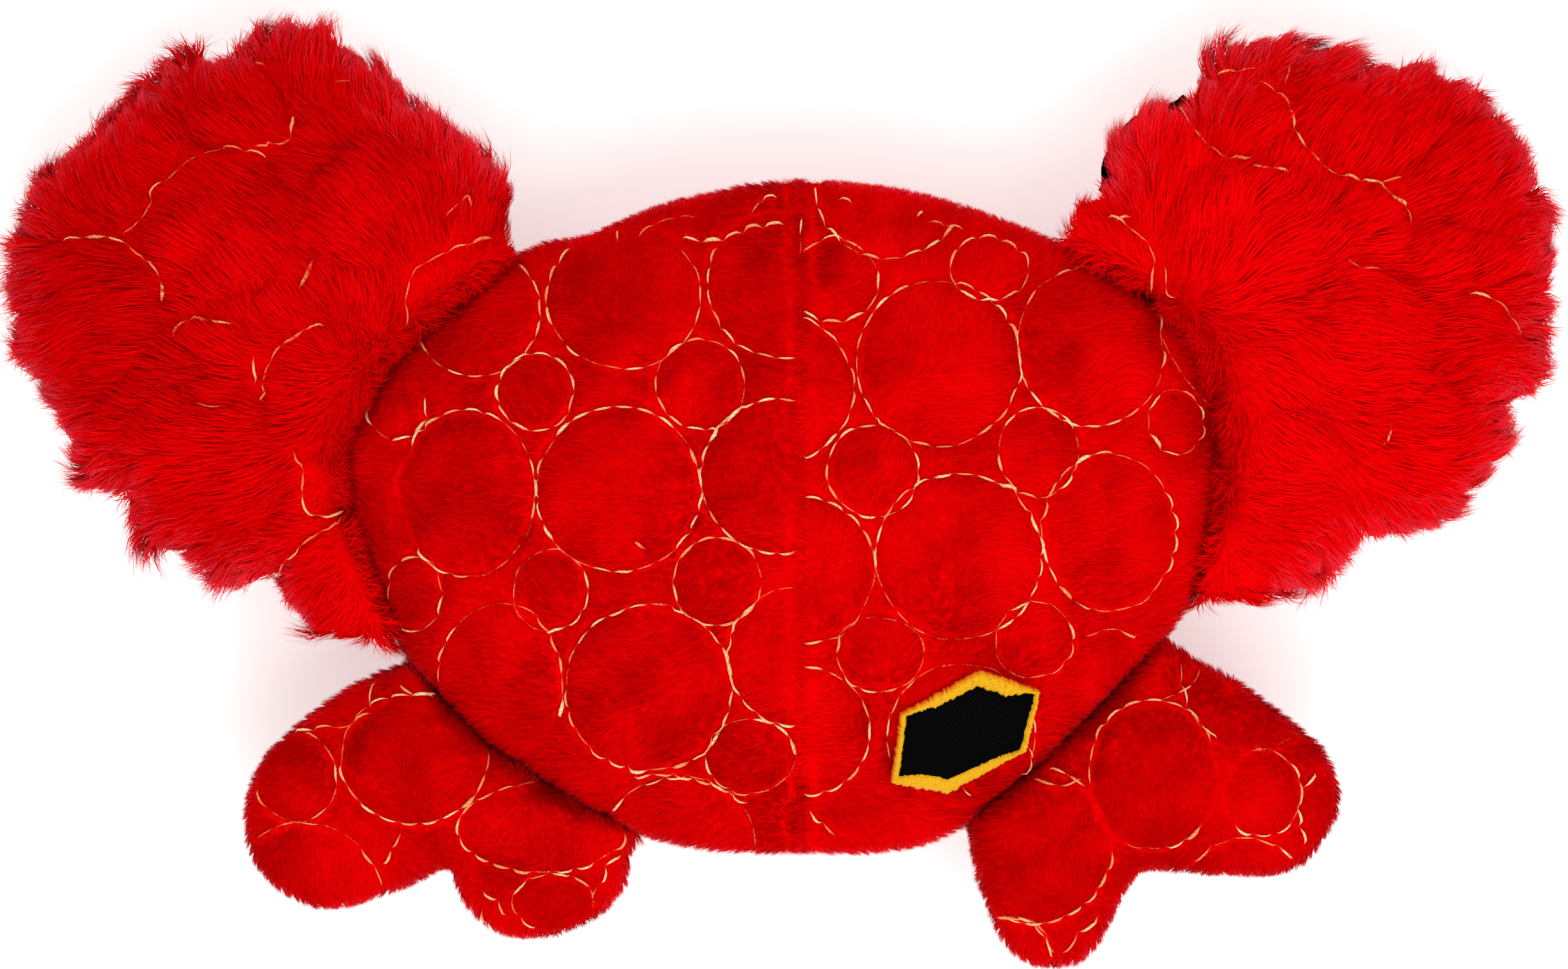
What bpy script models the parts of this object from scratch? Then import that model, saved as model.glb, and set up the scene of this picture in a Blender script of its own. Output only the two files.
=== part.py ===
"""Plush crab dog toy, lying on its belly with its back up.

X runs across the claws, Y towards the top of the body, Z up. Sizes are in millimetres.
The body, each claw and each pair of legs is a stuffed pillow: two quilted panels that
meet at a seam round the rim, with stuffing between them.
"""

import bmesh
import bpy
import numpy as np
from mathutils import Vector
from mathutils.geometry import delaunay_2d_cdt

MM = 0.001

# Heights of the pillows above and below their seam
SEAM_HEIGHT = 45.0
BACK_RISE = 48.0
BELLY_DROP = 52.0
CLAW_RISE = 28.0
LEGS_RISE = 13.5
CLAW_DROOP = 9.0
LEGS_DROOP = 14.0
DROOP_REACH = 60.0

# Quilted fabric with its pile, and the clearances between pieces
BODY_FABRIC = 5.2
CLAW_FABRIC = 9.5
LEGS_FABRIC = 4.2
CLEARANCE = 0.3
QUILT_DEPTH = 2.4
QUILT_WIDTH = 2.6
CLAW_QUILT_DEPTH = 3.0
LEGS_QUILT_DEPTH = 1.6
SEAM_DEPTH = 2.0
SEAM_X = 3.2
SEAM_MARGIN = 2.0

# Squeaker
SQUEAKER_RADIUS = 21.0
SQUEAKER_HEIGHT = 24.0
SQUEAKER_WALL = 1.6
NECK_RADIUS = 8.0
NECK_HEIGHT = 8.0
REED_BORE_RADIUS = 1.5
POCKET_OVERRUN = 2.0
SQUEAKER_X, SQUEAKER_Y = 0.0, -6.0
# Its side from the base up: shares of its radius at shares of its height
BULB_SIDE = [(0.75, 0.0), (0.95, 0.2), (1.0, 0.5), (0.9, 0.82)]

# Badge and claw lining
BADGE_THICKNESS = 1.2
BADGE_BORDER_THICKNESS = 1.7
BADGE_BORDER_WIDTH = 2.0
BADGE_LIFT = 0.45
LINING_WIDTH = 2.4
LINING_THICKNESS = 5.0

# How finely the surfaces are divided
RIM_STEP = 6.0
STITCH_STEP = 4.6
BACK_STEP = 5.4
BELLY_STEP = 12.0
CLAW_BACK_STEP = 6.4
CLAW_FRONT_STEP = 12.0
LEGS_BACK_STEP = 5.6
LEGS_FRONT_STEP = 10.0
LINER_STEP = 18.0
BADGE_STEP = 6.0
RIM_INSETS = (1.3, 4.6)
LINER_INSETS = (2.6,)
LEAST_TRIANGLE = 1e-3

# Spacing of the points in an area: closest neighbours, and distances from its rim, in steps
ROW_HEIGHT = 0.866
LEAST_GAP = 0.6
FIELD_MARGIN = 0.45
LINE_MARGIN = 1.3

# Along its hem a limb's edge holds its panels down only this much, so the limb stays full there
HEM_PULL = 0.25
HEM_FADE = 8.0

# The dips fade out towards the rim, over this share of the rise
DIP_FADE = 0.35

# A point this near to an outline is on it, and an inset one keeps this share of its distance
ON_RIM = 1e-4
INSET_SHARE = 0.96

BODY_CENTRE = (0.0, -3.0)
BODY_RADII = (85.0, 63.0)
BODY_RIM = [
    (84.6, 14.0), (80.8, 27.0), (70.0, 36.8), (54.0, 46.4), (29.0, 55.6), (3.2, 58.8),
    (-19.0, 55.4), (-33.5, 50.4), (-39.2, 47.9), (-48.5, 45.4), (-60.0, 38.4), (-74.5, 26.0),
    (-84.6, 11.0), (-84.8, -4.0), (-79.5, -19.0), (-73.5, -32.5), (-60.0, -48.0),
    (-46.5, -57.6), (-29.5, -67.0), (-13.0, -71.0), (4.0, -71.8), (22.0, -70.4), (35.4, -65.2),
    (49.2, -54.8), (62.0, -42.0), (74.5, -29.0), (81.0, -17.0), (84.0, -1.0),
]

# Free edges of the claws and legs. The first and last points lie by the body's rim.
CLAW_LEFT_CENTRE = (-107.0, 34.0)
CLAW_LEFT_EDGE = [
    (-51.0, 46.5), (-52.5, 56.5), (-59.7, 64.6), (-70.8, 72.6), (-80.6, 82.0), (-91.7, 90.0),
    (-101.6, 88.6), (-108.0, 82.6), (-115.2, 83.6), (-124.5, 77.0), (-133.0, 68.6),
    (-141.0, 60.6), (-146.2, 52.0), (-149.0, 42.0), (-148.8, 30.5), (-143.8, 20.0),
    (-137.8, 10.5), (-135.6, 0.8), (-126.4, -4.4), (-122.6, -11.0), (-112.7, -16.4),
    (-98.0, -19.6), (-91.0, -27.4), (-82.5, -30.8), (-76.0, -30.4),
]
CLAW_RIGHT_CENTRE = (108.0, 36.0)
CLAW_RIGHT_EDGE = [
    (80.6, -21.0), (91.5, -22.6), (102.5, -20.0), (107.4, -14.0), (114.6, -9.4),
    (125.4, -7.6), (132.8, -0.6), (138.4, 8.2), (138.0, 15.0), (144.6, 20.4), (148.2, 30.0),
    (148.0, 41.0), (148.6, 50.6), (145.0, 59.6), (139.4, 68.6), (134.0, 76.0), (124.0, 81.6),
    (111.7, 82.6), (99.4, 86.4), (88.0, 86.6), (81.8, 82.6), (77.2, 75.2), (72.0, 74.4),
    (66.0, 72.0), (62.0, 63.7), (60.6, 56.2), (56.0, 54.4), (54.6, 47.0),
]
LEGS_LEFT_CENTRE = (-80.0, -58.0)
LEGS_LEFT_EDGE = [
    (-71.6, -35.0), (-78.6, -36.9), (-87.0, -41.6), (-95.8, -48.6), (-101.4, -55.6),
    (-103.6, -63.0), (-102.4, -71.6), (-97.0, -77.8), (-89.3, -81.2), (-79.4, -79.4),
    (-70.8, -75.8), (-64.8, -73.6), (-61.8, -79.6), (-56.0, -85.4), (-46.1, -86.6),
    (-36.9, -83.2), (-31.2, -77.0), (-29.8, -71.0), (-28.6, -67.2),
]
LEGS_RIGHT_CENTRE = (80.0, -54.0)
LEGS_RIGHT_EDGE = [
    (35.4, -64.4), (36.8, -71.0), (38.6, -78.1), (41.6, -85.8), (46.2, -91.2), (53.1, -92.4),
    (58.4, -90.4), (62.4, -84.4), (65.0, -78.9), (69.6, -73.8), (78.4, -74.3), (88.3, -74.7),
    (98.4, -73.8), (104.4, -67.4), (106.9, -60.2), (104.0, -52.0), (97.2, -45.6),
    (87.2, -38.4), (78.4, -33.4), (73.4, -30.6),
]

# Stretches of the claws' edges where the black lining shows, from one end to the other
LINING_LEFT = ((-59.7, 64.6), (-80.6, 82.0))
LINING_RIGHT = ((77.2, 75.2), (60.6, 56.2))

BADGE_HEXAGON = [
    (48.8, -39.3), (37.6, -35.6), (22.4, -43.8), (20.6, -57.0), (31.4, -59.0), (46.2, -50.4),
]

# Quilted circles: centre, then radius across and radius along
QUILT_BACK_LEFT = [
    (-31.7, -0.9, 15.8, 15.8), (-60.8, -1.7, 13.2, 15.9), (-47.6, 17.6, 7.4, 7.4),
    (-44.8, -20.3, 7.5, 7.5), (-12.8, -18.6, 8.4, 8.4), (-71.1, -21.0, 5.5, 7.2),
    (-26.0, -39.0, 16.0, 16.0), (-54.6, -38.8, 12.3, 15.9), (-16.0, 19.1, 8.6, 8.6),
    (-1.0, 1.6, 14.8, 14.8), (2.6, -33.0, 13.3, 13.3), (-6.3, -52.2, 8.6, 7.2),
    (-20.2, -69.4, 14.5, 13.4), (-30.8, 35.9, 14.8, 13.9), (-0.2, 38.5, 14.5, 14.5),
    (-59.1, 32.9, 12.3, 12.3), (-74.5, 14.4, 5.9, 5.9),
]
QUILT_BACK_RIGHT = [
    (29.6, 23.2, 15.8, 15.8), (59.1, 26.5, 14.4, 15.3), (48.8, 6.2, 7.8, 8.6),
    (17.0, 2.5, 8.8, 8.8), (-0.5, 18.4, 13.8, 13.8), (9.4, 39.1, 8.9, 8.0),
    (20.5, 57.6, 14.5, 14.5), (39.5, 41.3, 7.6, 6.2), (33.5, -13.8, 15.9, 15.9),
    (62.4, -9.2, 12.9, 15.3), (3.5, -16.5, 13.9, 13.9), (18.4, -32.6, 8.4, 7.2),
    (48.0, -30.0, 7.4, 7.4), (75.6, 12.0, 5.4, 6.3), (4.2, -47.2, 12.3, 12.3),
    (34.0, -48.5, 14.2, 14.2), (63.0, -34.9, 6.8, 6.8),
]
QUILT_CLAW_LEFT = [
    (-107.0, 49.1, 15.0, 15.0), (-133.5, 32.4, 15.4, 15.4), (-109.1, 23.3, 8.1, 8.1),
    (-109.9, 3.7, 15.8, 15.8), (-105.7, 73.5, 10.5, 10.5), (-88.0, 18.1, 12.3, 12.3),
    (-78.0, 52.0, 12.5, 12.5),
]
QUILT_CLAW_RIGHT = [
    (89.5, 71.5, 9.2, 9.2), (112.1, 72.9, 14.5, 14.5), (89.5, 44.6, 16.6, 16.6),
    (112.9, 50.8, 7.6, 7.6), (110.5, 28.0, 14.5, 14.5), (132.7, 26.1, 10.7, 10.7),
    (96.0, 3.0, 12.5, 12.5), (132.0, 58.0, 10.5, 10.5),
]
QUILT_LEGS_LEFT = [
    (-71.1, -52.8, 14.1, 12.1), (-93.6, -56.3, 7.9, 8.5), (-92.4, -80.3, 15.3, 15.3),
    (-65.8, -75.6, 11.7, 11.7), (-46.5, -65.8, 16.0, 8.4), (-43.4, -79.5, 6.3, 5.3),
]
QUILT_LEGS_RIGHT = [
    (70.9, -55.7, 12.2, 14.3), (91.7, -59.2, 7.6, 8.3), (88.9, -79.3, 11.7, 11.7),
    (90.7, -36.1, 14.8, 14.8), (48.2, -68.2, 14.8, 14.8), (43.3, -91.6, 8.6, 8.6),
]


def clear_scene():
    for thing in list(bpy.data.objects):
        bpy.data.objects.remove(thing, do_unlink=True)


def plain_material(name, colour, roughness):
    """A Principled material of one plain colour."""
    material = bpy.data.materials.new(name)
    material.use_nodes = True
    shader = material.node_tree.nodes["Principled BSDF"]
    shader.inputs["Base Color"].default_value = (*colour, 1.0)
    shader.inputs["Roughness"].default_value = roughness
    shader.inputs["Metallic"].default_value = 0.0
    return material


# Outlines in plan

def smooth_curve(points, closed, per_span=12):
    """Points along a Catmull-Rom curve through the given ones."""
    points = np.array(points, float)
    if closed:
        ends = np.vstack([points[-1], points, points[0], points[1]])
    else:
        ends = np.vstack([2 * points[0] - points[1], points, 2 * points[-1] - points[-2]])
    steps = np.linspace(0, 1, per_span, endpoint=False)[:, None]
    spans = []
    for a, b, c, d in zip(ends, ends[1:], ends[2:], ends[3:]):
        cubic = 3 * b - 3 * c + d - a
        square = 2 * a - 5 * b + 4 * c - d
        spans.append(b + 0.5 * ((c - a) * steps + square * steps**2 + cubic * steps**3))
    curve = np.vstack(spans)
    return curve if closed else np.vstack([curve, points[-1]])


def respaced(curve, step, closed):
    """The same curve with its points about one step apart."""
    path = np.vstack([curve, curve[0]]) if closed else curve
    along = np.concatenate([[0], np.cumsum(np.linalg.norm(np.diff(path, axis=0), axis=1))])
    count = max(3, round(along[-1] / step))
    places = np.linspace(0, along[-1], count + 1)
    if closed:
        places = places[:-1]
    return np.column_stack([np.interp(places, along, path[:, axis]) for axis in (0, 1)])


def signed_area(loop):
    after = np.roll(loop, -1, axis=0)
    return 0.5 * np.sum(loop[:, 0] * after[:, 1] - after[:, 0] * loop[:, 1])


def anticlockwise(loop):
    return loop if signed_area(loop) > 0 else loop[::-1]


def outward(loop):
    """Unit normals that point out of an anticlockwise loop."""
    along = np.roll(loop, -1, axis=0) - np.roll(loop, 1, axis=0)
    along /= np.linalg.norm(along, axis=1)[:, None]
    return np.column_stack([along[:, 1], -along[:, 0]])


def rim_distance(points, loop):
    """Shortest distance from each point to the loop."""
    start = loop[None]
    side = np.roll(loop, -1, axis=0)[None] - start
    reach = points[:, None] - start
    share = np.clip((reach * side).sum(2) / (side**2).sum(2), 0, 1)
    return np.linalg.norm(reach - share[..., None] * side, axis=2).min(1)


def is_inside(points, loop):
    """True for each point inside the loop, by counting crossings to its right."""
    after = np.roll(loop, -1, axis=0)
    x, y = points[:, None, 0], points[:, None, 1]
    spans = (loop[None, :, 1] > y) != (after[None, :, 1] > y)
    rise = after[:, 1] - loop[:, 1]
    rise = np.where(rise == 0, 1e-9, rise)
    crossing = loop[:, 0] + (y - loop[:, 1]) * (after[:, 0] - loop[:, 0]) / rise
    return (spans & (x < crossing)).sum(1) % 2 == 1


def inset(loop, distance):
    """The loop moved inwards, without the points that its narrow corners fold over."""
    moved = loop - outward(loop) * distance
    clear = rim_distance(moved, loop) > INSET_SHARE * distance
    return moved[clear & is_inside(moved, loop)]


BODY_LOOP = anticlockwise(respaced(smooth_curve(BODY_RIM, True), RIM_STEP, True))
BODY_CURVE = anticlockwise(smooth_curve(BODY_RIM, True))


def limb_loop(edge):
    """A limb's whole outline: its free edge, closed along the body's rim."""
    hem = BODY_CURVE + outward(BODY_CURVE) * CLEARANCE
    ends = [np.linalg.norm(hem - np.array(point), axis=1).argmin() for point in (edge[0], edge[-1])]
    free = smooth_curve([hem[ends[0]], *edge[1:-1], hem[ends[1]]], False)
    count = len(hem)
    ahead = (ends[0] - ends[1]) % count
    step = 1 if ahead <= count - ahead else -1
    seam = [hem[(ends[1] + step * i) % count] for i in range(min(ahead, count - ahead) + 1)]
    free = respaced(free, RIM_STEP, False)
    seam = respaced(np.array(seam), RIM_STEP, False)
    return anticlockwise(np.vstack([free, seam[1:-1]]))


# Heights

def hem_pull(loop, depth):
    """How much each edge of a limb's outline holds its panel down: least along the hem.

    Depth is how far the outline lies inside the limb's own edge.
    """
    middles = 0.5 * (loop + np.roll(loop, -1, axis=0))
    away = rim_distance(middles, BODY_CURVE) - CLEARANCE - depth
    return HEM_PULL + (1 - HEM_PULL) * np.clip(away / HEM_FADE, 0, 1)


def swell(points, loop, pull):
    """A smooth measure of how far inside the loop each point is: 0 at the rim."""
    here = loop[None] - points[:, None]
    there = np.roll(loop, -1, axis=0)[None] - points[:, None]
    near = np.linalg.norm(here, axis=2)
    far = np.linalg.norm(there, axis=2)
    cross = here[..., 0] * there[..., 1] - here[..., 1] * there[..., 0]
    turn = cross / (near * far + (here * there).sum(2))
    return 2 / (pull * (1 / near + 1 / far) * turn).sum(1)


def puff(points, loop, pull, centre, rise):
    """Height of a stuffed pillow over its seam."""
    most = swell(np.array([centre]), loop, pull)[0]
    return rise * np.sqrt(np.clip(swell(points, loop, pull) / most, 0, None))


def line_distance(points, circle):
    """Distance from each point to the line of a quilted circle."""
    x, y, across, along = circle
    reach = np.hypot((points[:, 0] - x) / across, (points[:, 1] - y) / along)
    return np.abs(reach - 1) * 0.5 * (across + along)


def quilt_dip(points, circles, depth):
    """How far the stitched circles pull the surface in."""
    dip = np.zeros(len(points))
    for circle in circles:
        dip = np.maximum(dip, np.exp(-((line_distance(points, circle) / QUILT_WIDTH) ** 2)))
    return depth * dip


def back_dip(points, depth):
    """Dips of the back, whose two panels have circles of their own, and of its centre seam."""
    dip = np.where(
        points[:, 0] < SEAM_X,
        quilt_dip(points, QUILT_BACK_LEFT, depth),
        quilt_dip(points, QUILT_BACK_RIGHT, depth),
    )
    seam = SEAM_DEPTH * np.exp(-(((points[:, 0] - SEAM_X) / QUILT_WIDTH) ** 2))
    return np.maximum(dip, seam)


def seam_level(points, droop):
    """Height of the seam, which sags away from the body."""
    away = np.hypot(
        (points[:, 0] - BODY_CENTRE[0]) / BODY_RADII[0],
        (points[:, 1] - BODY_CENTRE[1]) / BODY_RADII[1],
    )
    reach = np.clip(away - 1, 0, None) * min(BODY_RADII)
    return SEAM_HEIGHT - droop * (reach / DROOP_REACH) ** 2


# Meshes

def spread(loop, step, lines, insets=RIM_INSETS):
    """Points inside the loop: rings by the rim, points along the lines, then an even field."""
    thinning = max(1, round(step / RIM_STEP))
    rings = [inset(loop, distance) for distance in insets]
    points = np.vstack([rings[0], *(ring[::thinning] for ring in rings[1:])])
    margin = insets[-1]
    for line in lines:
        line = line[is_inside(line, loop)]
        line = line[rim_distance(line, loop) > margin * LINE_MARGIN]
        if len(line):
            gaps = np.linalg.norm(line[:, None] - points[None], axis=2).min(1)
            points = np.vstack([points, line[gaps > STITCH_STEP * LEAST_GAP]])
    low, high = loop.min(0), loop.max(0)
    rows = np.arange(low[1], high[1], step * ROW_HEIGHT)
    field = [(x + (row % 2) * step / 2, y) for row, y in enumerate(rows)
             for x in np.arange(low[0], high[0], step)]
    field = np.array(field)
    field = field[is_inside(field, loop)]
    field = field[rim_distance(field, loop) > margin + step * FIELD_MARGIN]
    gaps = np.linalg.norm(field[:, None] - points[None], axis=2).min(1)
    return np.vstack([points, field[gaps > step * LEAST_GAP]])


def circle_lines(circles, keep=None):
    """Points along each quilted circle, about one stitch step apart."""
    lines = []
    for x, y, across, along in circles:
        count = max(8, round(np.pi * (across + along) / STITCH_STEP))
        angles = np.arange(count) * 2 * np.pi / count
        line = np.column_stack([x + across * np.cos(angles), y + along * np.sin(angles)])
        lines.append(line if keep is None else line[keep(line)])
    return lines


def triangles(loops, points):
    """Triangles over the outer loop, less any inner one, with their corner points."""
    corners = np.vstack([*loops, points]) if len(points) else np.vstack(loops)
    rings, first = [], 0
    for loop in loops:
        rings.append([(first + i, first + (i + 1) % len(loop)) for i in range(len(loop))])
        first += len(loop)
    edges = [edge for ring in rings for edge in ring]
    flat = [Vector(corner) for corner in corners]
    placed, _, faces, *_ = delaunay_2d_cdt(flat, edges, [], 0, 1e-6)
    placed = np.array([tuple(corner) for corner in placed])
    faces = np.array([face for face in faces if len(face) == 3])
    middles = placed[faces].mean(1)
    sides = placed[faces][:, 1:] - placed[faces][:, :1]
    areas = 0.5 * np.abs(sides[:, 0, 0] * sides[:, 1, 1] - sides[:, 0, 1] * sides[:, 1, 0])
    keep = is_inside(middles, loops[0]) & (areas > LEAST_TRIANGLE)
    for hole in loops[1:]:
        keep &= ~is_inside(middles, hole)
    return placed, faces[keep]


class Sheet:
    """Faces gathered into one mesh, with corners that meet made one."""

    def __init__(self):
        self.corners = []
        self.faces = []

    def add(self, plan, heights, faces):
        first = len(self.corners)
        self.corners += [(x * MM, y * MM, z * MM) for (x, y), z in zip(plan, heights)]
        self.faces += [tuple(int(first + i) for i in face) for face in faces]

    def finish(self, name, material):
        mesh = bpy.data.meshes.new(name)
        mesh.from_pydata(self.corners, [], self.faces)
        shape = bmesh.new()
        shape.from_mesh(mesh)
        bmesh.ops.remove_doubles(shape, verts=shape.verts, dist=1e-6)
        bmesh.ops.recalc_face_normals(shape, faces=shape.faces)
        shape.to_mesh(mesh)
        shape.free()
        mesh.materials.append(material)
        mesh.shade_smooth()
        thing = bpy.data.objects.new(name, mesh)
        bpy.context.scene.collection.objects.link(thing)
        return thing


class Pillow:
    """One stuffed part: its outline, its seam and the sizes that its pieces share."""

    def __init__(self, loop, centre, fabric, droop, has_hem):
        self.loop = loop
        self.centre = centre
        self.fabric = fabric
        self.droop = droop
        self.liner_loop = inset(loop, fabric)
        self.core_loop = self.liner_loop - outward(self.liner_loop) * CLEARANCE
        self.pull = hem_pull(self.loop, 0) if has_hem else 1.0
        self.liner_pull = hem_pull(self.liner_loop, fabric) if has_hem else 1.0
        self.liner_points = spread(self.liner_loop, LINER_STEP, [], LINER_INSETS)

    def seam(self, plan):
        return seam_level(plan, self.droop)

    def height(self, plan, rise, side):
        """Outside height from the seam up (side 1) or down (side -1), zero on the rim."""
        lift = np.zeros(len(plan))
        within = rim_distance(plan, self.loop) > ON_RIM
        lift[within] = puff(plan[within], self.loop, self.pull, self.centre, rise)
        return lift * side

    def liner_height(self, plan, rise, side):
        """The same for the inside of the fabric, which is its thickness lower."""
        lift = np.zeros(len(plan))
        within = rim_distance(plan, self.liner_loop) > ON_RIM
        lift[within] = puff(plan[within], self.liner_loop, self.liner_pull, self.centre, rise - self.fabric)
        return lift * side

    def panel(self, name, material, side, rise, step, lines, dip, floor=None):
        """One quilted panel: an outer face, an inner face and the edge that is sewn."""
        sheet = Sheet()
        seam_gap = side * CLEARANCE / 2
        plan, faces = triangles([self.loop], spread(self.loop, step, lines))
        lift = self.height(plan, rise, side)
        pull = dip(plan) * np.clip(np.abs(lift) / (DIP_FADE * rise), 0, 1)
        level = self.seam(plan) + seam_gap + lift - side * pull
        sheet.add(plan, level if floor is None else np.maximum(level, floor), faces)
        plan, faces = triangles([self.liner_loop], self.liner_points)
        level = self.seam(plan) + seam_gap + self.liner_height(plan, rise, side)
        sheet.add(plan, level if floor is None else np.maximum(level, floor + self.fabric), faces)
        plan, faces = triangles([self.loop, self.liner_loop], [])
        sheet.add(plan, self.seam(plan) + seam_gap, faces)
        return sheet.finish(name, material)

    def stuffing(self, name, material, rise, drop, floor=None):
        """The fill, a clearance inside both panels."""
        sheet = Sheet()
        plan, faces = triangles([self.liner_loop], self.liner_points)
        on_rim = rim_distance(plan, self.liner_loop) < ON_RIM
        faces = faces[~on_rim[faces].all(1)]
        slack = CLEARANCE * ~on_rim
        top = self.liner_height(plan, rise, 1) + CLEARANCE / 2 - slack
        low = self.liner_height(plan, drop, -1) - CLEARANCE / 2 + slack
        top[on_rim] = low[on_rim] = 0
        level = self.seam(plan)
        base = level + low
        if floor is not None:
            base = np.maximum(base, floor + self.fabric + CLEARANCE)
        inner = plan.copy()
        inner[on_rim] = [self.core_loop[np.linalg.norm(self.liner_loop - point, axis=1).argmin()]
                         for point in plan[on_rim]]
        sheet.add(inner, level + top, faces)
        sheet.add(inner, base, faces)
        return sheet.finish(name, material)


def cut_at_seam(thing, side):
    """Keep the part of a back panel on one side of the centre seam, and close the cut."""
    shape = bmesh.new()
    shape.from_mesh(thing.data)
    everything = shape.verts[:] + shape.edges[:] + shape.faces[:]
    place = Vector(((SEAM_X + side * CLEARANCE / 2) * MM, 0, 0))
    bmesh.ops.bisect_plane(
        shape, geom=everything, dist=1e-7, plane_co=place, plane_no=Vector((-side, 0, 0)), clear_outer=True
    )
    cut = [edge for edge in shape.edges if edge.is_boundary]
    bmesh.ops.edgeloop_fill(shape, edges=cut)
    bmesh.ops.recalc_face_normals(shape, faces=shape.faces)
    shape.to_mesh(thing.data)
    shape.free()


def turned(name, profile, place, material, segments=24):
    """A solid turned about Z from a closed profile of (radius, height).

    Corners on the axis, at radius 0, become one point.
    """
    shape = bmesh.new()
    rings = []
    for radius, height in profile:
        ring = []
        for i in range(segments):
            angle = 2 * np.pi * i / segments
            ring.append(shape.verts.new((
                (place[0] + radius * np.cos(angle)) * MM,
                (place[1] + radius * np.sin(angle)) * MM,
                (place[2] + height) * MM,
            )))
        rings.append(ring)
    for low, high in zip(rings, rings[1:] + rings[:1]):
        for i in range(segments):
            j = (i + 1) % segments
            shape.faces.new((low[i], low[j], high[j], high[i]))
    bmesh.ops.remove_doubles(shape, verts=shape.verts, dist=1e-7)
    bmesh.ops.recalc_face_normals(shape, faces=shape.faces)
    mesh = bpy.data.meshes.new(name)
    shape.to_mesh(mesh)
    shape.free()
    mesh.materials.append(material)
    mesh.shade_smooth()
    thing = bpy.data.objects.new(name, mesh)
    bpy.context.scene.collection.objects.link(thing)
    return thing


# Pieces

def build_body(plush, fill):
    body = Pillow(BODY_LOOP, BODY_CENTRE, BODY_FABRIC, 0, False)
    left = circle_lines(QUILT_BACK_LEFT, lambda line: line[:, 0] < SEAM_X - SEAM_MARGIN)
    right = circle_lines(QUILT_BACK_RIGHT, lambda line: line[:, 0] > SEAM_X + SEAM_MARGIN)
    heights = np.arange(BODY_LOOP[:, 1].min(), BODY_LOOP[:, 1].max(), RIM_STEP)
    centre = np.column_stack([np.full(len(heights), SEAM_X), heights])
    for name, side in (("back_panel_left", -1), ("back_panel_right", 1)):
        panel = body.panel(
            name, plush, 1, BACK_RISE, BACK_STEP, [centre, *left, *right],
            lambda plan: back_dip(plan, QUILT_DEPTH),
        )
        cut_at_seam(panel, side)
    body.panel(
        "belly_panel", plush, -1, BELLY_DROP, BELLY_STEP, [],
        lambda plan: np.zeros(len(plan)), floor=0.0,
    )
    stuffing = body.stuffing("body_stuffing", fill, BACK_RISE, BELLY_DROP, floor=0.0)
    carve_squeaker_pocket(stuffing)


def squeaker_base():
    """Where the squeaker sits: on the inside of the belly panel."""
    return (SQUEAKER_X, SQUEAKER_Y, BODY_FABRIC + CLEARANCE)


def carve_squeaker_pocket(stuffing):
    """A well in the stuffing, open to the belly, that holds the squeaker."""
    depth = SQUEAKER_HEIGHT + NECK_HEIGHT + 2 * CLEARANCE
    base = squeaker_base()[2]
    cutter = turned(
        "pocket_cutter",
        [(0, -POCKET_OVERRUN), (SQUEAKER_RADIUS + CLEARANCE, -POCKET_OVERRUN),
         (SQUEAKER_RADIUS + CLEARANCE, depth), (0, depth)],
        (SQUEAKER_X, SQUEAKER_Y, base), stuffing.data.materials[0],
    )
    cutter.hide_render = True
    cutter.display_type = "WIRE"
    pocket = stuffing.modifiers.new("squeaker pocket", "BOOLEAN")
    pocket.operation = "DIFFERENCE"
    pocket.solver = "EXACT"
    pocket.object = cutter


def build_squeaker(plastic):
    place = squeaker_base()
    radius, height, wall = SQUEAKER_RADIUS, SQUEAKER_HEIGHT, SQUEAKER_WALL
    bore = NECK_RADIUS - wall
    top = height + NECK_HEIGHT
    outside = [(radius * share, height * along) for share, along in BULB_SIDE]
    inside = [(radius * share - wall, wall + (height - 2 * wall) * along) for share, along in BULB_SIDE]
    turned("squeaker_bulb", [
        (0, 0), *outside, (NECK_RADIUS, height), (NECK_RADIUS, top),
        (bore, top), (bore, height - wall), *reversed(inside), (0, wall),
    ], place, plastic)
    plug = bore - CLEARANCE
    turned("squeaker_reed_plug", [
        (REED_BORE_RADIUS, height), (plug, height), (plug, top), (REED_BORE_RADIUS, top),
    ], place, plastic, 16)


def build_claw(side, edge, centre, circles, fur, fill):
    claw = Pillow(limb_loop(edge), centre, CLAW_FABRIC, CLAW_DROOP, True)
    lines = circle_lines(circles)

    def dip(plan):
        return quilt_dip(plan, circles, CLAW_QUILT_DEPTH)

    claw.panel(f"claw_back_{side}", fur, 1, CLAW_RISE, CLAW_BACK_STEP, lines, dip)
    claw.panel(f"claw_front_{side}", fur, -1, CLAW_RISE, CLAW_FRONT_STEP, [], dip)
    claw.stuffing(f"claw_stuffing_{side}", fill, CLAW_RISE, CLAW_RISE)
    return claw


def build_legs(side, edge, centre, circles, plush, fill):
    legs = Pillow(limb_loop(edge), centre, LEGS_FABRIC, LEGS_DROOP, True)
    lines = circle_lines(circles)

    def dip(plan):
        return quilt_dip(plan, circles, LEGS_QUILT_DEPTH)

    legs.panel(f"legs_back_{side}", plush, 1, LEGS_RISE, LEGS_BACK_STEP, lines, dip)
    legs.panel(f"legs_front_{side}", plush, -1, LEGS_RISE, LEGS_FRONT_STEP, [], dip)
    legs.stuffing(f"legs_stuffing_{side}", fill, LEGS_RISE, LEGS_RISE)


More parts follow.
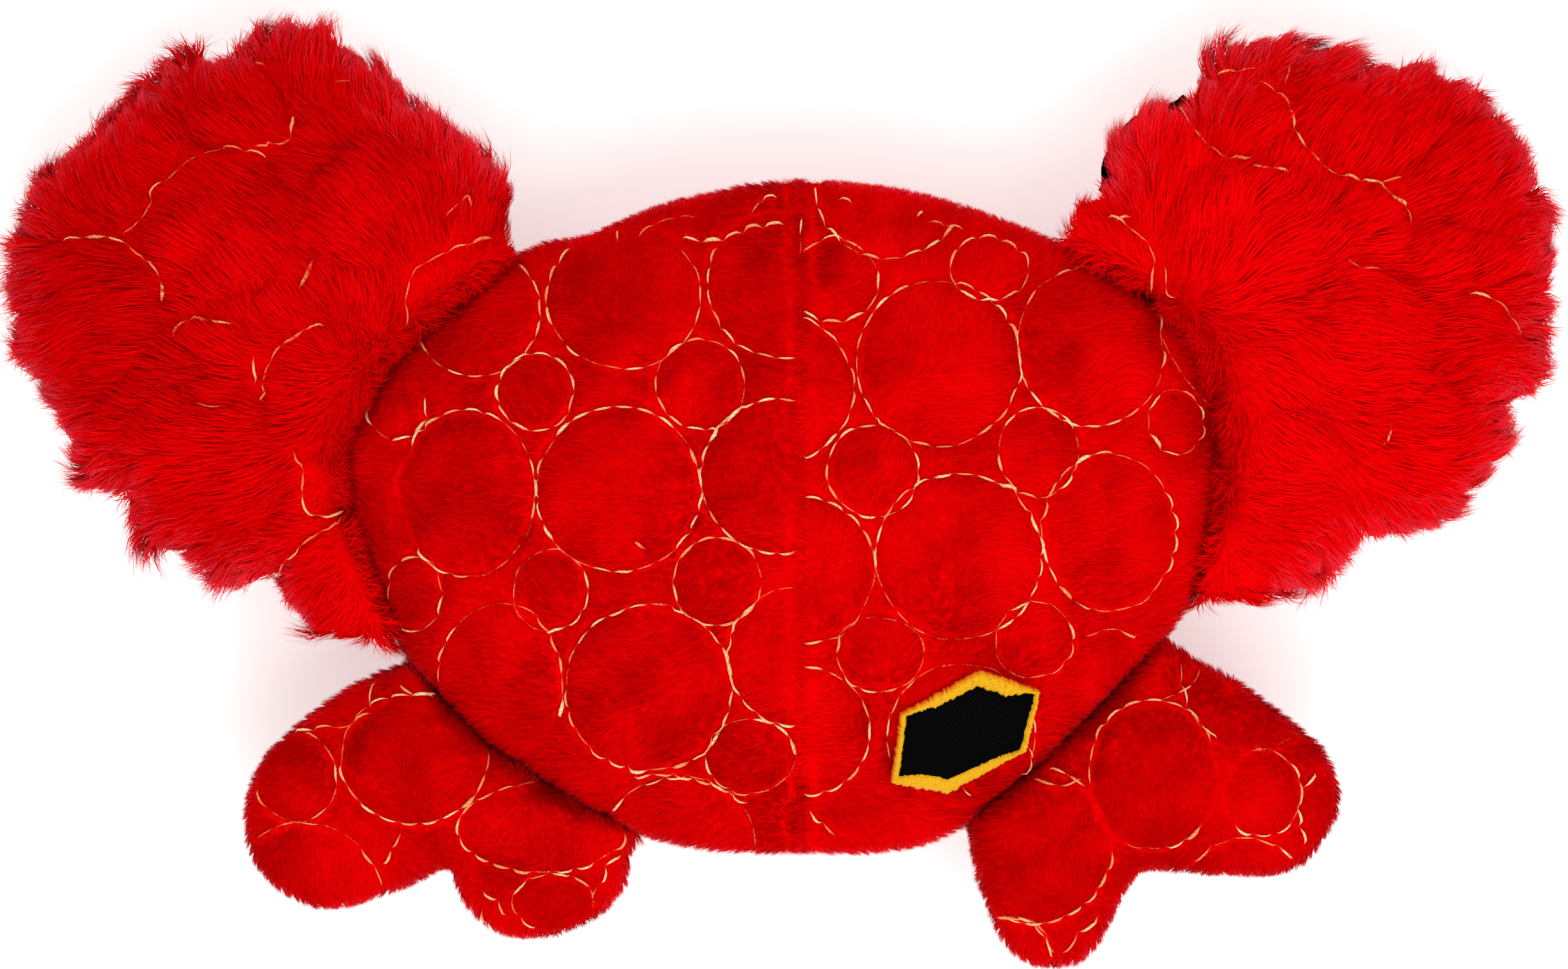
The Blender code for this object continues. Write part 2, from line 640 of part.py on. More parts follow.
def build_lining(side, claw, ends, cloth):
    """A black edge strip along the thumb of a claw, just outside its rim."""
    rim = claw.loop
    first, last = sorted(np.linalg.norm(rim - np.array(end), axis=1).argmin() for end in ends)
    stretch = rim[first:last + 1]
    out = outward(rim)[first:last + 1]
    level = claw.seam(stretch)
    half = LINING_THICKNESS / 2
    shape = bmesh.new()
    sections = []
    for place, away, middle in zip(stretch, out, level):
        near = place + away * CLEARANCE
        far = near + away * LINING_WIDTH
        corners = [(near, -half), (far, -half), (far, half), (near, half)]
        sections.append([
            shape.verts.new((point[0] * MM, point[1] * MM, (middle + up) * MM)) for point, up in corners
        ])
    for one, two in zip(sections, sections[1:]):
        for i in range(4):
            j = (i + 1) % 4
            shape.faces.new((one[i], one[j], two[j], two[i]))
    shape.faces.new(sections[0])
    shape.faces.new(sections[-1])
    bmesh.ops.recalc_face_normals(shape, faces=shape.faces)
    mesh = bpy.data.meshes.new(f"claw_lining_{side}")
    shape.to_mesh(mesh)
    shape.free()
    mesh.materials.append(cloth)
    thing = bpy.data.objects.new(f"claw_lining_{side}", mesh)
    bpy.context.scene.collection.objects.link(thing)


def back_surface(plan):
    """Corners on the smooth back under the badge, with their unit normals."""
    def level(points):
        return SEAM_HEIGHT + CLEARANCE / 2 + puff(points, BODY_LOOP, 1.0, BODY_CENTRE, BACK_RISE)

    step = 0.5
    slope_x = (level(plan + (step, 0)) - level(plan - (step, 0))) / (2 * step)
    slope_y = (level(plan + (0, step)) - level(plan - (0, step))) / (2 * step)
    normals = np.column_stack([-slope_x, -slope_y, np.ones(len(plan))])
    normals /= np.linalg.norm(normals, axis=1)[:, None]
    return np.column_stack([plan, level(plan)]), normals


def patch(name, loops, points, thickness, material):
    """A thin piece that follows the back, with an even thickness."""
    plan, faces = triangles(loops, points)
    base, normals = back_surface(plan)
    sheet = Sheet()
    count = len(plan)
    for lift in (BADGE_LIFT, BADGE_LIFT + thickness):
        placed = base + normals * lift
        sheet.add(placed[:, :2], placed[:, 2], faces)
    for loop in loops:
        ring = [int(np.linalg.norm(plan - point, axis=1).argmin()) for point in loop]
        sheet.faces += [(a, b, b + count, a + count) for a, b in zip(ring, ring[1:] + ring[:1])]
    return sheet.finish(name, material)


def divided(corners, step):
    """The corners of a closed polygon, with points between them about one step apart."""
    points = []
    for start, end in zip(corners, np.roll(corners, -1, axis=0)):
        count = max(1, round(np.linalg.norm(end - start) / step))
        points += [start + (end - start) * i / count for i in range(count)]
    return np.array(points)


def build_badge(thread, twill):
    outer = divided(anticlockwise(np.array(BADGE_HEXAGON)), BADGE_STEP)
    middle = outer.mean(0)
    narrow = rim_distance(middle[None], outer)[0]
    inner = middle + (outer - middle) * (1 - BADGE_BORDER_WIDTH / narrow)
    field = middle + (outer - middle) * (1 - (BADGE_BORDER_WIDTH + CLEARANCE) / narrow)
    patch("badge_border", [outer, inner], [], BADGE_BORDER_THICKNESS, thread)
    patch("badge_field", [field], [middle], BADGE_THICKNESS, twill)


def main():
    clear_scene()
    plush = plain_material("red short-pile plush", (0.62, 0.0, 0.003), 0.9)
    fur = plain_material("red faux fur", (0.56, 0.0, 0.002), 0.95)
    fill = plain_material("white fibre stuffing", (0.85, 0.85, 0.83), 1.0)
    plastic = plain_material("squeaker plastic", (0.8, 0.8, 0.76), 0.45)
    cloth = plain_material("black lining", (0.006, 0.006, 0.006), 0.4)
    thread = plain_material("yellow satin thread", (0.85, 0.46, 0.01), 0.5)
    build_body(plush, fill)
    build_squeaker(plastic)
    left = build_claw("left", CLAW_LEFT_EDGE, CLAW_LEFT_CENTRE, QUILT_CLAW_LEFT, fur, fill)
    right = build_claw("right", CLAW_RIGHT_EDGE, CLAW_RIGHT_CENTRE, QUILT_CLAW_RIGHT, fur, fill)
    build_lining("left", left, LINING_LEFT, cloth)
    build_lining("right", right, LINING_RIGHT, cloth)
    build_legs("left", LEGS_LEFT_EDGE, LEGS_LEFT_CENTRE, QUILT_LEGS_LEFT, plush, fill)
    build_legs("right", LEGS_RIGHT_EDGE, LEGS_RIGHT_CENTRE, QUILT_LEGS_RIGHT, plush, fill)
    build_badge(thread, cloth)


main()
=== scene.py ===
"""Looks of the plush crab dog toy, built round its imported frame.

Sizes are in millimetres and turned into metres as each mesh is made. X runs across the
claws, Y towards the top of the body, Z up. Each stuffed part has a skin that follows its
panel, a pile of strands rooted on the skin, and quilting thread stitched over both.
"""

from collections import namedtuple
from itertools import product

import bpy
import numpy as np
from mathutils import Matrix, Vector
from mathutils.geometry import delaunay_2d_cdt


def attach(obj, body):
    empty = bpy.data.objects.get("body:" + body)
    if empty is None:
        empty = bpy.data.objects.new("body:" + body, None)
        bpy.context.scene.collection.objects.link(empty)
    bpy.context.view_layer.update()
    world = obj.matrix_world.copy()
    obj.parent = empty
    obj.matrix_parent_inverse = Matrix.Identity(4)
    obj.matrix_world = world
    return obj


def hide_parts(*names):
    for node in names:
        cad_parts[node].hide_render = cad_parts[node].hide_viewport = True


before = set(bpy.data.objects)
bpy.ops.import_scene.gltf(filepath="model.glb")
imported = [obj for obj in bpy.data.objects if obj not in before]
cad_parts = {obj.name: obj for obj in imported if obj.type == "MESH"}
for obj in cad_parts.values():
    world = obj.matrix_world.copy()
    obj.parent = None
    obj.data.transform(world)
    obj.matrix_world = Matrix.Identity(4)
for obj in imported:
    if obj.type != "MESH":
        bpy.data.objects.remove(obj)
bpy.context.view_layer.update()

MM = 0.001

# Camera: straight above, its frame this wide on the plane at this height
FRAME_WIDTH = 301.7
FRAME_PLANE = 50.0
LENS = 300.0
SENSOR = 36.0

# Heights of the stuffed parts, as in the frame
SEAM_HEIGHT = 45.0
BACK_RISE = 48.0
BELLY_DROP = 52.0
CLAW_RISE = 28.0
LEGS_RISE = 13.5
CLAW_DROOP = 9.0
LEGS_DROOP = 14.0
DROOP_REACH = 60.0
FLOOR_GAP = 0.15

# The camera sees a high form larger. Stitches are drawn at the frame's plane, so on a form that
# stands over it they are placed nearer to the middle by these shares.
BACK_SEEN = 0.988
CLAW_SEEN = 0.993
BADGE_SEEN = 0.983

# How far each skin lies under the outside of its pile
BODY_PILE = 0.9
CLAW_PILE = 2.9
LEGS_PILE = 0.05

# Quilting: the depth of the valleys and how wide they open
QUILT_DEPTH = 3.0
CLAW_QUILT_DEPTH = 3.0
LEGS_QUILT_DEPTH = 1.9
QUILT_WIDTH = 2.6
QUILT_ROUNDING = 0.5
SEAM_X = 3.2
SEAM_TOP = 51.4
SEAM_DEPTH = 1.3
SEAM_WIDTH = 1.0
RIDGE_DEPTH = 1.3

# Along its hem a limb's edge holds the skin down only this much, so the limb stays full there
HEM_PULL = 0.15
HEM_FADE = 8.0

BODY_CENTRE = (0.0, -3.0)
BODY_RADII = (85.0, 63.0)
BODY_RIM = [
    (84.6, 14.0), (80.8, 27.0), (70.0, 36.8), (54.0, 46.4), (29.0, 55.6), (3.2, 59.0),
    (-19.0, 55.5), (-33.5, 50.5), (-39.4, 48.3), (-48.9, 46.0), (-60.0, 38.8), (-74.5, 26.0),
    (-84.6, 11.0), (-84.8, -4.0), (-79.5, -19.0), (-73.5, -32.5), (-60.0, -48.0),
    (-46.5, -57.6), (-29.5, -67.0), (-13.0, -70.9), (4.0, -71.4), (22.0, -70.7), (35.4, -65.8),
    (49.2, -54.8), (62.0, -42.0), (74.5, -29.0), (81.0, -17.0), (84.0, -1.0),
]

# Free edges of the claws and legs. The first and last points lie by the body's rim.
CLAW_LEFT_CENTRE = (-107.0, 34.0)
CLAW_LEFT_WRIST = (-62.0, 16.0)
CLAW_LEFT_EDGE = [
    (-54.8, 45.8), (-51.2, 56.9), (-58.6, 64.8), (-69.9, 73.3), (-79.8, 82.6), (-92.2, 87.9),
    (-101.4, 87.2), (-108.0, 82.6), (-115.2, 84.2), (-124.2, 76.9), (-132.9, 68.6),
    (-142.0, 61.6), (-147.3, 53.0), (-148.3, 42.0), (-148.6, 30.5), (-144.0, 19.2),
    (-138.3, 10.2), (-136.6, 0.8), (-127.0, -2.6), (-124.0, -11.0), (-112.6, -16.4),
    (-104.0, -19.8), (-98.8, -19.6), (-91.8, -28.0), (-84.2, -31.4), (-77.4, -30.2),
]
CLAW_RIGHT_CENTRE = (108.0, 36.0)
CLAW_RIGHT_WRIST = (64.0, 22.0)
CLAW_RIGHT_EDGE = [
    (80.6, -22.4), (84.8, -23.9), (91.8, -23.4), (101.0, -19.7), (107.4, -14.0), (114.6, -10.2),
    (126.4, -7.9), (134.4, -1.6), (139.6, 8.2), (139.0, 13.8), (146.2, 19.4), (147.2, 30.4),
    (148.0, 41.0), (149.0, 50.4), (144.8, 59.8), (139.7, 68.8), (134.0, 76.0), (124.0, 81.4),
    (111.6, 82.0), (99.6, 86.5), (88.2, 86.3), (80.4, 82.2), (77.2, 75.0), (71.8, 72.8),
    (66.6, 70.7), (61.9, 63.7), (60.8, 57.2), (54.8, 54.3), (55.8, 47.6),
]
LEGS_LEFT_CENTRE = (-80.0, -58.0)
LEGS_LEFT_EDGE = [
    (-71.6, -35.0), (-78.6, -36.9), (-87.0, -41.6), (-95.8, -48.6), (-101.4, -55.6),
    (-103.6, -63.0), (-102.4, -71.6), (-97.0, -77.8), (-89.3, -81.2), (-79.4, -79.4),
    (-70.8, -75.8), (-64.8, -73.6), (-61.8, -79.6), (-56.0, -85.4), (-46.1, -86.6),
    (-36.9, -83.2), (-31.2, -77.0), (-29.8, -71.0), (-28.6, -67.2),
]
LEGS_RIGHT_CENTRE = (80.0, -54.0)
LEGS_RIGHT_EDGE = [
    (35.4, -64.4), (36.8, -71.0), (38.6, -78.1), (41.6, -85.8), (46.2, -91.2), (53.1, -92.4),
    (58.4, -90.4), (62.4, -84.4), (65.0, -78.9), (69.6, -73.8), (78.4, -74.3), (88.3, -74.7),
    (98.4, -73.8), (104.4, -67.4), (106.9, -60.2), (104.0, -52.0), (97.2, -45.6),
    (87.2, -38.4), (78.4, -33.4), (73.4, -30.6),
]

# Quilted circles: centre, then radius across and radius along
QUILT_BACK_LEFT = [
    (-31.7, -0.9, 15.8, 15.8), (-60.8, -1.7, 13.2, 15.9), (-47.6, 17.6, 7.4, 7.4),
    (-44.8, -20.3, 7.5, 7.5), (-12.8, -18.6, 8.4, 8.4), (-71.1, -21.0, 5.5, 7.2),
    (-26.0, -39.0, 16.0, 16.0), (-54.6, -38.8, 12.3, 15.9), (-16.0, 19.1, 8.6, 8.6),
    (-1.0, 1.6, 14.8, 14.8), (2.6, -33.0, 13.3, 13.3), (-6.3, -52.2, 8.6, 7.2),
    (-20.2, -69.4, 14.5, 13.4), (-30.8, 35.9, 14.8, 13.9), (-0.2, 38.5, 14.5, 14.5),
    (-59.1, 32.9, 12.3, 12.3), (-74.5, 14.4, 5.9, 5.9),
]
QUILT_BACK_RIGHT = [
    (29.6, 23.2, 15.8, 15.8), (59.1, 26.5, 14.4, 15.3), (48.8, 6.2, 7.8, 8.6),
    (17.0, 2.5, 8.8, 8.8), (-0.5, 18.4, 13.8, 13.8), (9.4, 39.1, 8.9, 8.0),
    (20.5, 57.6, 14.5, 14.5), (39.5, 41.3, 7.6, 6.2), (33.5, -13.8, 15.9, 15.9),
    (62.4, -9.2, 12.9, 15.3), (3.5, -16.5, 13.9, 13.9), (18.4, -32.6, 8.4, 7.2),
    (48.0, -30.0, 7.4, 7.4), (75.6, 12.0, 5.4, 6.3), (4.2, -47.2, 12.3, 12.3),
    (34.0, -48.5, 14.2, 14.2),
]
QUILT_CLAW_LEFT = [
    (-107.0, 49.1, 15.0, 15.0), (-133.5, 32.4, 15.4, 15.4), (-109.1, 23.3, 8.1, 8.1),
    (-109.9, 3.7, 15.8, 15.8), (-105.7, 73.5, 10.5, 10.5), (-88.0, 18.1, 12.3, 12.3),
    (-78.0, 52.0, 12.5, 12.5),
]
QUILT_CLAW_RIGHT = [
    (89.5, 71.5, 9.2, 9.2), (112.1, 72.9, 14.5, 14.5), (89.5, 44.6, 16.6, 16.6),
    (112.9, 50.8, 7.6, 7.6), (110.5, 28.0, 14.5, 14.5), (132.7, 26.1, 10.7, 10.7),
    (96.0, 3.0, 12.5, 12.5), (132.0, 58.0, 10.5, 10.5),
]
QUILT_LEGS_LEFT = [
    (-71.1, -52.8, 14.1, 12.1), (-93.6, -56.3, 7.9, 8.5), (-92.4, -80.3, 15.3, 15.3),
    (-46.5, -65.8, 16.0, 8.4), (-44.3, -80.1, 7.6, 5.6),
]
QUILT_LEGS_RIGHT = [
    (70.9, -55.7, 12.2, 14.3), (91.7, -59.2, 7.6, 8.3), (88.9, -79.3, 11.7, 11.7),
    (90.7, -36.1, 14.8, 14.8), (48.0, -69.2, 14.8, 15.0), (43.3, -91.6, 8.6, 8.6),
]

# The seam round the top of the back, just inside its outline
RIDGES_BACK = [
    [(-38.2, 47.0), (-19.9, 53.0), (-5.3, 56.0)],
    [(26.8, 53.6), (41.0, 49.6), (54.1, 43.6)],
]

# Stitched arcs that are not whole circles
ARCS_BACK = [
    [(-19.7, 47.5), (-16.9, 46.5), (-11.7, 46.9), (-6.5, 49.1), (0.1, 50.1)],
    [(-6.3, 52.2), (-4.2, 54.7), (-1.1, 55.5)],
    [(10.5, 55.0), (13.3, 54.1)],
    [(27.7, 50.9), (35.0, 49.0)],
    [(3.5, 51.4), (2.7, 43.9)],
    [(-28.8, -11.0), (-27.6, -11.4), (-26.6, -12.6)],
    [(57.7, -29.1), (63.3, -27.9), (68.2, -29.3)],
    [(4.9, -62.8), (10.1, -67.9)],
    [(34.3, -58.2), (36.2, -59.9)],
    [(47.3, -50.5), (47.8, -52.7)],
    [(-29.0, -56.5), (-22.3, -55.7), (-14.7, -57.2), (-6.7, -61.2)],
    [(72.5, 33.5), (73.0, 28.0), (76.8, 21.3), (83.4, 14.4)],
    [(-31.9, 48.7), (-31.9, 46.7)],
    [(25.2, 51.9), (26.4, 52.9)],
    [(-28.5, 47.7), (-25.9, 49.8), (-20.2, 51.7), (-16.4, 51.5)],
]
ARCS_LEGS_LEFT = [
    [(-78.2, -37.9), (-79.2, -43.0)],
    [(-31.4, -71.1), (-34.0, -72.6), (-35.5, -77.3), (-37.1, -80.1)],
    [(-73.5, -66.7), (-77.1, -73.1)],
    [(-94.2, -47.8), (-90.6, -47.5), (-87.3, -46.8), (-82.9, -45.7), (-79.3, -43.7)],
    [(-73.8, -38.6), (-71.3, -40.5), (-66.9, -40.5)],
    [(-57.8, -77.7), (-54.8, -79.6), (-53.4, -82.9)],
    [(-58.1, -81.8), (-57.4, -84.3)],
]
ARCS_LEGS_RIGHT = [
    [(60.2, -82.7), (56.7, -85.7), (53.3, -90.3)],
    [(102.2, -55.5), (99.5, -59.4), (99.0, -63.3), (100.6, -69.3)],
    [(47.8, -57.0), (50.9, -57.5), (54.3, -57.7), (57.4, -56.1)],
    [(41.2, -83.5), (46.6, -83.0), (49.2, -85.1), (52.2, -90.3)],
    [(80.0, -35.4), (77.6, -39.1), (71.8, -41.6)],
]
ARCS_CLAW_LEFT = [
    [(-73.7, 31.1), (-73.4, 35.3), (-72.0, 40.3), (-68.4, 42.8), (-63.9, 44.9), (-57.1, 47.0)],
    [(-93.2, 37.5), (-90.4, 43.0)],
    [(-62.8, 53.8), (-61.8, 55.5), (-61.0, 52.3)],
    [(-94.7, 6.9), (-92.8, 2.7), (-92.5, -2.3), (-90.7, -5.2), (-85.8, -5.2)],
    [(-86.2, -6.5), (-92.8, -11.1), (-96.1, -14.3), (-97.5, -17.5)],
    [(-127.3, 48.0), (-124.3, 50.5), (-122.0, 53.2), (-121.5, 55.9), (-118.5, 59.4), (-113.2, 63.1),
     (-105.7, 64.2), (-99.6, 62.4)],
    [(-94.6, 70.7), (-95.2, 68.5), (-95.4, 66.1), (-97.6, 65.2), (-99.6, 64.6), (-102.3, 64.6)],
    [(-139.1, 47.1), (-134.8, 48.0), (-131.9, 48.0), (-128.2, 47.0), (-124.6, 44.2), (-122.0, 41.7),
     (-119.7, 38.4), (-119.4, 34.8)],
    [(-102.0, 80.9), (-99.9, 80.4)],
    [(-87.5, 77.2), (-84.2, 77.6)],
    [(-65.5, 51.3), (-63.2, 53.7)],
    [(-117.4, 28.2), (-114.7, 31.2), (-110.2, 31.8), (-105.7, 30.7)],
    [(-101.8, 24.7), (-101.8, 19.4)],
    [(-113.2, 15.7), (-107.1, 14.9)],
    [(-100.4, 15.7), (-99.6, 21.0), (-97.4, 25.5), (-93.6, 28.5), (-88.3, 30.5)],
]
ARCS_CLAW_RIGHT = [
    [(90.7, 61.2), (93.1, 60.8), (96.9, 59.2)],
    [(131.6, 36.9), (137.5, 35.1), (142.4, 29.1)],
    [(62.8, 50.7), (65.6, 49.9), (69.0, 47.5), (71.3, 44.0), (71.3, 37.6)],
    [(73.7, 41.8), (74.3, 37.6), (76.2, 36.3)],
    [(116.9, 12.0), (114.8, 7.9)],
    [(91.9, 77.6), (94.9, 75.4), (97.4, 72.3), (98.7, 68.2), (101.8, 63.7), (106.8, 59.4),
     (112.9, 57.6), (119.1, 58.8)],
    [(84.6, 78.4), (88.2, 79.2), (91.6, 80.1)],
    [(97.0, 76.8), (98.0, 81.2)],
    [(77.0, 72.2), (78.5, 69.9), (79.4, 67.8), (80.9, 66.2), (83.4, 63.8), (85.8, 62.4), (90.7, 62.9)],
    [(64.5, 50.4), (67.5, 51.2)],
    [(68.1, 36.7), (69.7, 35.2)],
    [(108.3, 43.4), (110.1, 41.9), (114.4, 41.3)],
    [(113.8, 58.3), (119.1, 53.9), (120.6, 49.6)],
]

# Places where the thread has sunk out of sight: centre and radius
SUNK_BACK = [(34.0, -65.0, 12.5), (-54.6, -52.0, 14.0), (-79.0, -3.0, 12.0), (-74.5, 19.6, 6.5)]
SUNK_LEGS = [(84.5, -57.5, 8.2), (61.1, -63.7, 6.0)]

# The badge's outline and the inner edge of its satin border, corner by corner
BADGE_OUTER = [
    (48.8, -39.3), (43.2, -37.4), (37.6, -35.6), (30.0, -39.7), (22.4, -43.8), (20.6, -57.0),
    (26.0, -58.2), (31.4, -59.0), (39.2, -54.5), (46.2, -50.4),
]
BADGE_INNER = [
    (48.1, -39.4), (42.4, -40.3), (37.0, -38.5), (29.9, -42.1), (23.5, -43.9), (22.0, -55.8),
    (26.1, -55.3), (31.6, -56.3), (39.6, -52.6), (45.1, -50.7),
]
BADGE_LIFT = 0.45
BADGE_THICKNESS = 1.2
BADGE_BORDER_THICKNESS = 1.7
SATIN_PITCH = 0.42
FRAY = 0.14
FRAME_CLEARANCE = 0.3

# Black lining that shows at the claws' edges, from one end to the other
LINING_LEFT = ((-59.7, 64.6), (-80.6, 82.0))
LIP_REACH_LEFT = 0.2
LINING_RIGHT = ((77.2, 75.0), (61.0, 57.2))
PEAKS_RIGHT = ((76.4, 75.2), (60.8, 60.4))
LIP_REACH = 2.6
LIP_PEAK = 5.0
LIP_PEAK_WIDTH = 3.0
LIP_THICKNESS = 2.2

# Spacing of the points on each skin, and of the rings that follow its rim. Rows of points stand a
# share of their spacing apart, and no point comes nearer to a ring than another share.
BACK_SPACING = 1.05
CLAW_SPACING = 1.2
LEGS_SPACING = 1.0
UNDER_SPACING = 2.2
RIM_SPACING = 1.3
ARC_SPACING = 0.8
RING_SCALE = 0.16
RING_COUNT = 7
ROW_SHARE = 0.866
LEAST_GAP = 0.6
LEAST_TRIANGLE = 1e-4
ON_RIM = 1e-4

# A point moved inwards is kept when it stands at least this share of its way clear of the rim
CLEAR_SHARE = 0.96
LIMB_CLEAR_SHARE = 0.9
SLACK = 0.01

# A limb's pile reaches its full depth this many depths away from the body
PILE_FADE = 2.5

# A distance that stands for no line near
FAR = 1e3

# Soft lumps in the stuffing: height, wavelength and seed of each. Nearer to the rim than this share
# of the rise, lumps and quilting fade out.
LUMPS = ((0.5, 16, 5), (0.35, 7, 6))
CREST_SHARE = 0.45

# Strand tones are told apart by where a strand lies in its texture layout
TONE_COLUMNS = 32
STYLE_ROWS = 4

# How the strands of a fabric grow: millimetres and degrees. Joints is how often one bends, and
# speckle is how much their tones differ. Relief is how much a strand is shaded by its own slope
# and not by the skin's.
Pile = namedtuple("Pile", "length width stand bend clump scatter joints speckle relief")
FUR = Pile(length=9.2, width=0.26, stand=28, bend=3, clump=4.2, scatter=8, joints=2, speckle=0.03,
           relief=0.16)
PLUSH = Pile(length=2.7, width=0.28, stand=40, bend=14, clump=1.5, scatter=20, joints=1,
             speckle=0.14, relief=0.38)

# The corners of a strand by its joints: how far across and along it each one lies, and the triangles
Blade = namedtuple("Blade", "across along triangles")
BLADES = {
    1: Blade((-1, 1, 0), (0.06, 0.06, 0.94), ((0, 1, 2),)),
    2: Blade((-1, 1, 1, -1, 0), (0.06, 0.06, 0.5, 0.5, 0.94), ((0, 1, 2), (0, 2, 3), (3, 2, 4))),
}

# How strands differ: degrees of rise and bend, and of twist out of the skin. Each one is rooted a
# little under the skin and is narrower in its middle.
STAND_SCATTER = 7
BEND_SCATTER = 6
TWIST = 0.35
ROOT_DEPTH = 0.3
MIDDLE_WIDTH = 0.85
EDGE_SHADE = 0.3
STRAND_LENGTHS = (0.72, 1.0)
STRAND_WIDTHS = (0.6, 1.25)

# How each strand of a piece lies. Gather is how far it leans into its tuft, and stand is how many
# degrees steeper it is than its pile.
Lie = namedtuple("Lie", "lean length tone style gather stand keep")

# Where a fur root is: how deep in its limb, how much the rim, the body's edge and the overlap onto
# the body act on it, and the directions out of the limb and out of the body
Near = namedtuple("Near", "depth edge hem over out body_out")
RIM_REACH = 6.0
HEM_REACH = 9.0
OVERLAP = 0.75
OVERLAP_REACH = 3.2
OVERLAP_STAND = 44.0
OVERLAP_SPIN = 1.2
RIM_TURN = 1.5

# The swirls, in radians, and the patches of tone of each fabric, which paint the sheen and shade of its
# changing nap: height, wavelength and seed of each. For the plush the seed is added to its panel's.
FUR_SWIRLS = ((0.5, 45, 11), (0.3, 20, 15))
FUR_SHEEN_PATCHES = ((0.08, 26, 13), (0.06, 9, 14))
PLUSH_SWIRLS = ((1.1, 60, 0), (0.7, 24, 1))
PLUSH_SHEEN_PATCHES = ((0.22, 30, 2), (0.13, 10, 3))

# The fur of a claw's front is shorter than that of its back, so that its tips stay out of sight
FRONT_SHARE = 0.82
STRAY_SHARE = 0.1
# How wide the painted shade in the fur's quilted valleys reaches
FUR_VALLEY_SHADE = 3.4

# Pink tips by the free rim, painted pale light at the fringe: the style, how deep it reaches and the share
# of the strands there
PINK_TIPS = ((2, 4.0, 0.85), (1, 8.0, 0.4))
FREE_HEM = 0.3

# Tones, from 0 for dark to 1 for light. The back's and the claws' right halves are set lighter than
# their left, painted light from the right. The fur's tone fades by the millimetre from this far out of
# the wrist, painted shade away from the wrist.
PLUSH_TONES = {
    "back left": 0.34, "back right": 0.54, "belly": 0.5, "legs left": 0.34, "legs right": 0.28,
}
CLAW_TONES = {"left": 0.38, "right": 0.62}
PAINTED_SHADE_FADE = 0.0045
FADE_START = 45.0

# The plush: how far its rim and the seam act on it, and how near to the thread it grows
PLUSH_RIM_REACH = 4.0
SEAM_REACH = 2.2
SEAM_PULL = 2.5
THREAD_CLEARANCE = 0.36

# Quilting thread: its thickness, its height over the skin where it dives and where it shows, and
# the range of tones of the stitches that show
Thread = namedtuple("Thread", "radius low high tones")
PLUSH_THREAD = Thread(radius=0.26, low=0.1, high=1.05, tones=(1, 4))
FUR_THREAD = Thread(radius=0.27, low=1.1, high=2.1, tones=(0, 3))
STITCH_PITCH = 4.2
STITCH_SIDES = 6
THREAD_TONES = 4
CIRCLE_POINTS = 96
LEAST_RUN = 5
THREAD_SWAY = 0.16
THREAD_WANDER = 0.3
WANDER_LENGTH = 14
BURIED_LENGTH = 38
SUNK_SHARE = 0.22
SUNK_SIZE = 0.6
SUNK_HEIGHT = 0.42
BURIED_DROP = 0.35
THICK_SHARE = 0.12

# The steps over which the skin's slope is measured, under a thread and under the badge
THREAD_STEP = 0.4
BADGE_STEP = 0.5

# One stitch from end to end: places along it, its thickness there and how far it rises
STITCH_PLACES = np.array([0.0, 0.1, 0.26, 0.48, 0.7, 0.88, 0.97])
STITCH_THICKNESS = np.array([0.2, 0.34, 0.8, 1.0, 0.88, 0.4, 0.2])
STITCH_RISE = np.array([0.0, 0.35, 0.9, 1.0, 0.9, 0.35, 0.0])

# Fur whose tips would lie over a stitched arc is mostly cut short of it, by this much
ARC_CLEARANCE = 1.0


# Outlines in plan

def smooth_curve(points, closed, per_span=12):
    """Points along a Catmull-Rom curve through the given ones."""
    points = np.array(points, float)
    if closed:
        ends = np.vstack([points[-1], points, points[0], points[1]])
    else:
        ends = np.vstack([2 * points[0] - points[1], points, 2 * points[-1] - points[-2]])
    steps = np.linspace(0, 1, per_span, endpoint=False)[:, None]
    spans = []
    for a, b, c, d in zip(ends, ends[1:], ends[2:], ends[3:]):
        cubic = 3 * b - 3 * c + d - a
        square = 2 * a - 5 * b + 4 * c - d
        spans.append(b + 0.5 * ((c - a) * steps + square * steps**2 + cubic * steps**3))
    curve = np.vstack(spans)
    return curve if closed else np.vstack([curve, points[-1]])


def respaced(curve, step, closed):
    """The same curve with its points about one step apart."""
    path = np.vstack([curve, curve[0]]) if closed else curve
    along = np.concatenate([[0], np.cumsum(np.linalg.norm(np.diff(path, axis=0), axis=1))])
    count = max(3, round(along[-1] / step))
    places = np.linspace(0, along[-1], count + 1)
    if closed:
        places = places[:-1]
    return np.column_stack([np.interp(places, along, path[:, axis]) for axis in (0, 1)])


def anticlockwise(loop):
    after = np.roll(loop, -1, axis=0)
    area = np.sum(loop[:, 0] * after[:, 1] - after[:, 0] * loop[:, 1])
    return loop if area > 0 else loop[::-1]


def outward(loop):
    """Unit normals that point out of an anticlockwise loop."""
    along = np.roll(loop, -1, axis=0) - np.roll(loop, 1, axis=0)
    along /= np.linalg.norm(along, axis=1)[:, None]
    return np.column_stack([along[:, 1], -along[:, 0]])


def unit(vectors):
    return vectors / np.maximum(np.linalg.norm(vectors, axis=1), 1e-9)[:, None]


def in_chunks(work, points, size=1500):
    """The work done on a long list of points a part at a time, to keep memory small."""
    parts = [work(points[i:i + size]) for i in range(0, len(points), size)]
    return np.concatenate(parts) if parts else np.zeros(0)


def point_distance(points, path):
    """Distance from each point to the nearest point of a path."""
    return in_chunks(lambda some: np.linalg.norm(some[:, None] - path[None], axis=2).min(1), points)


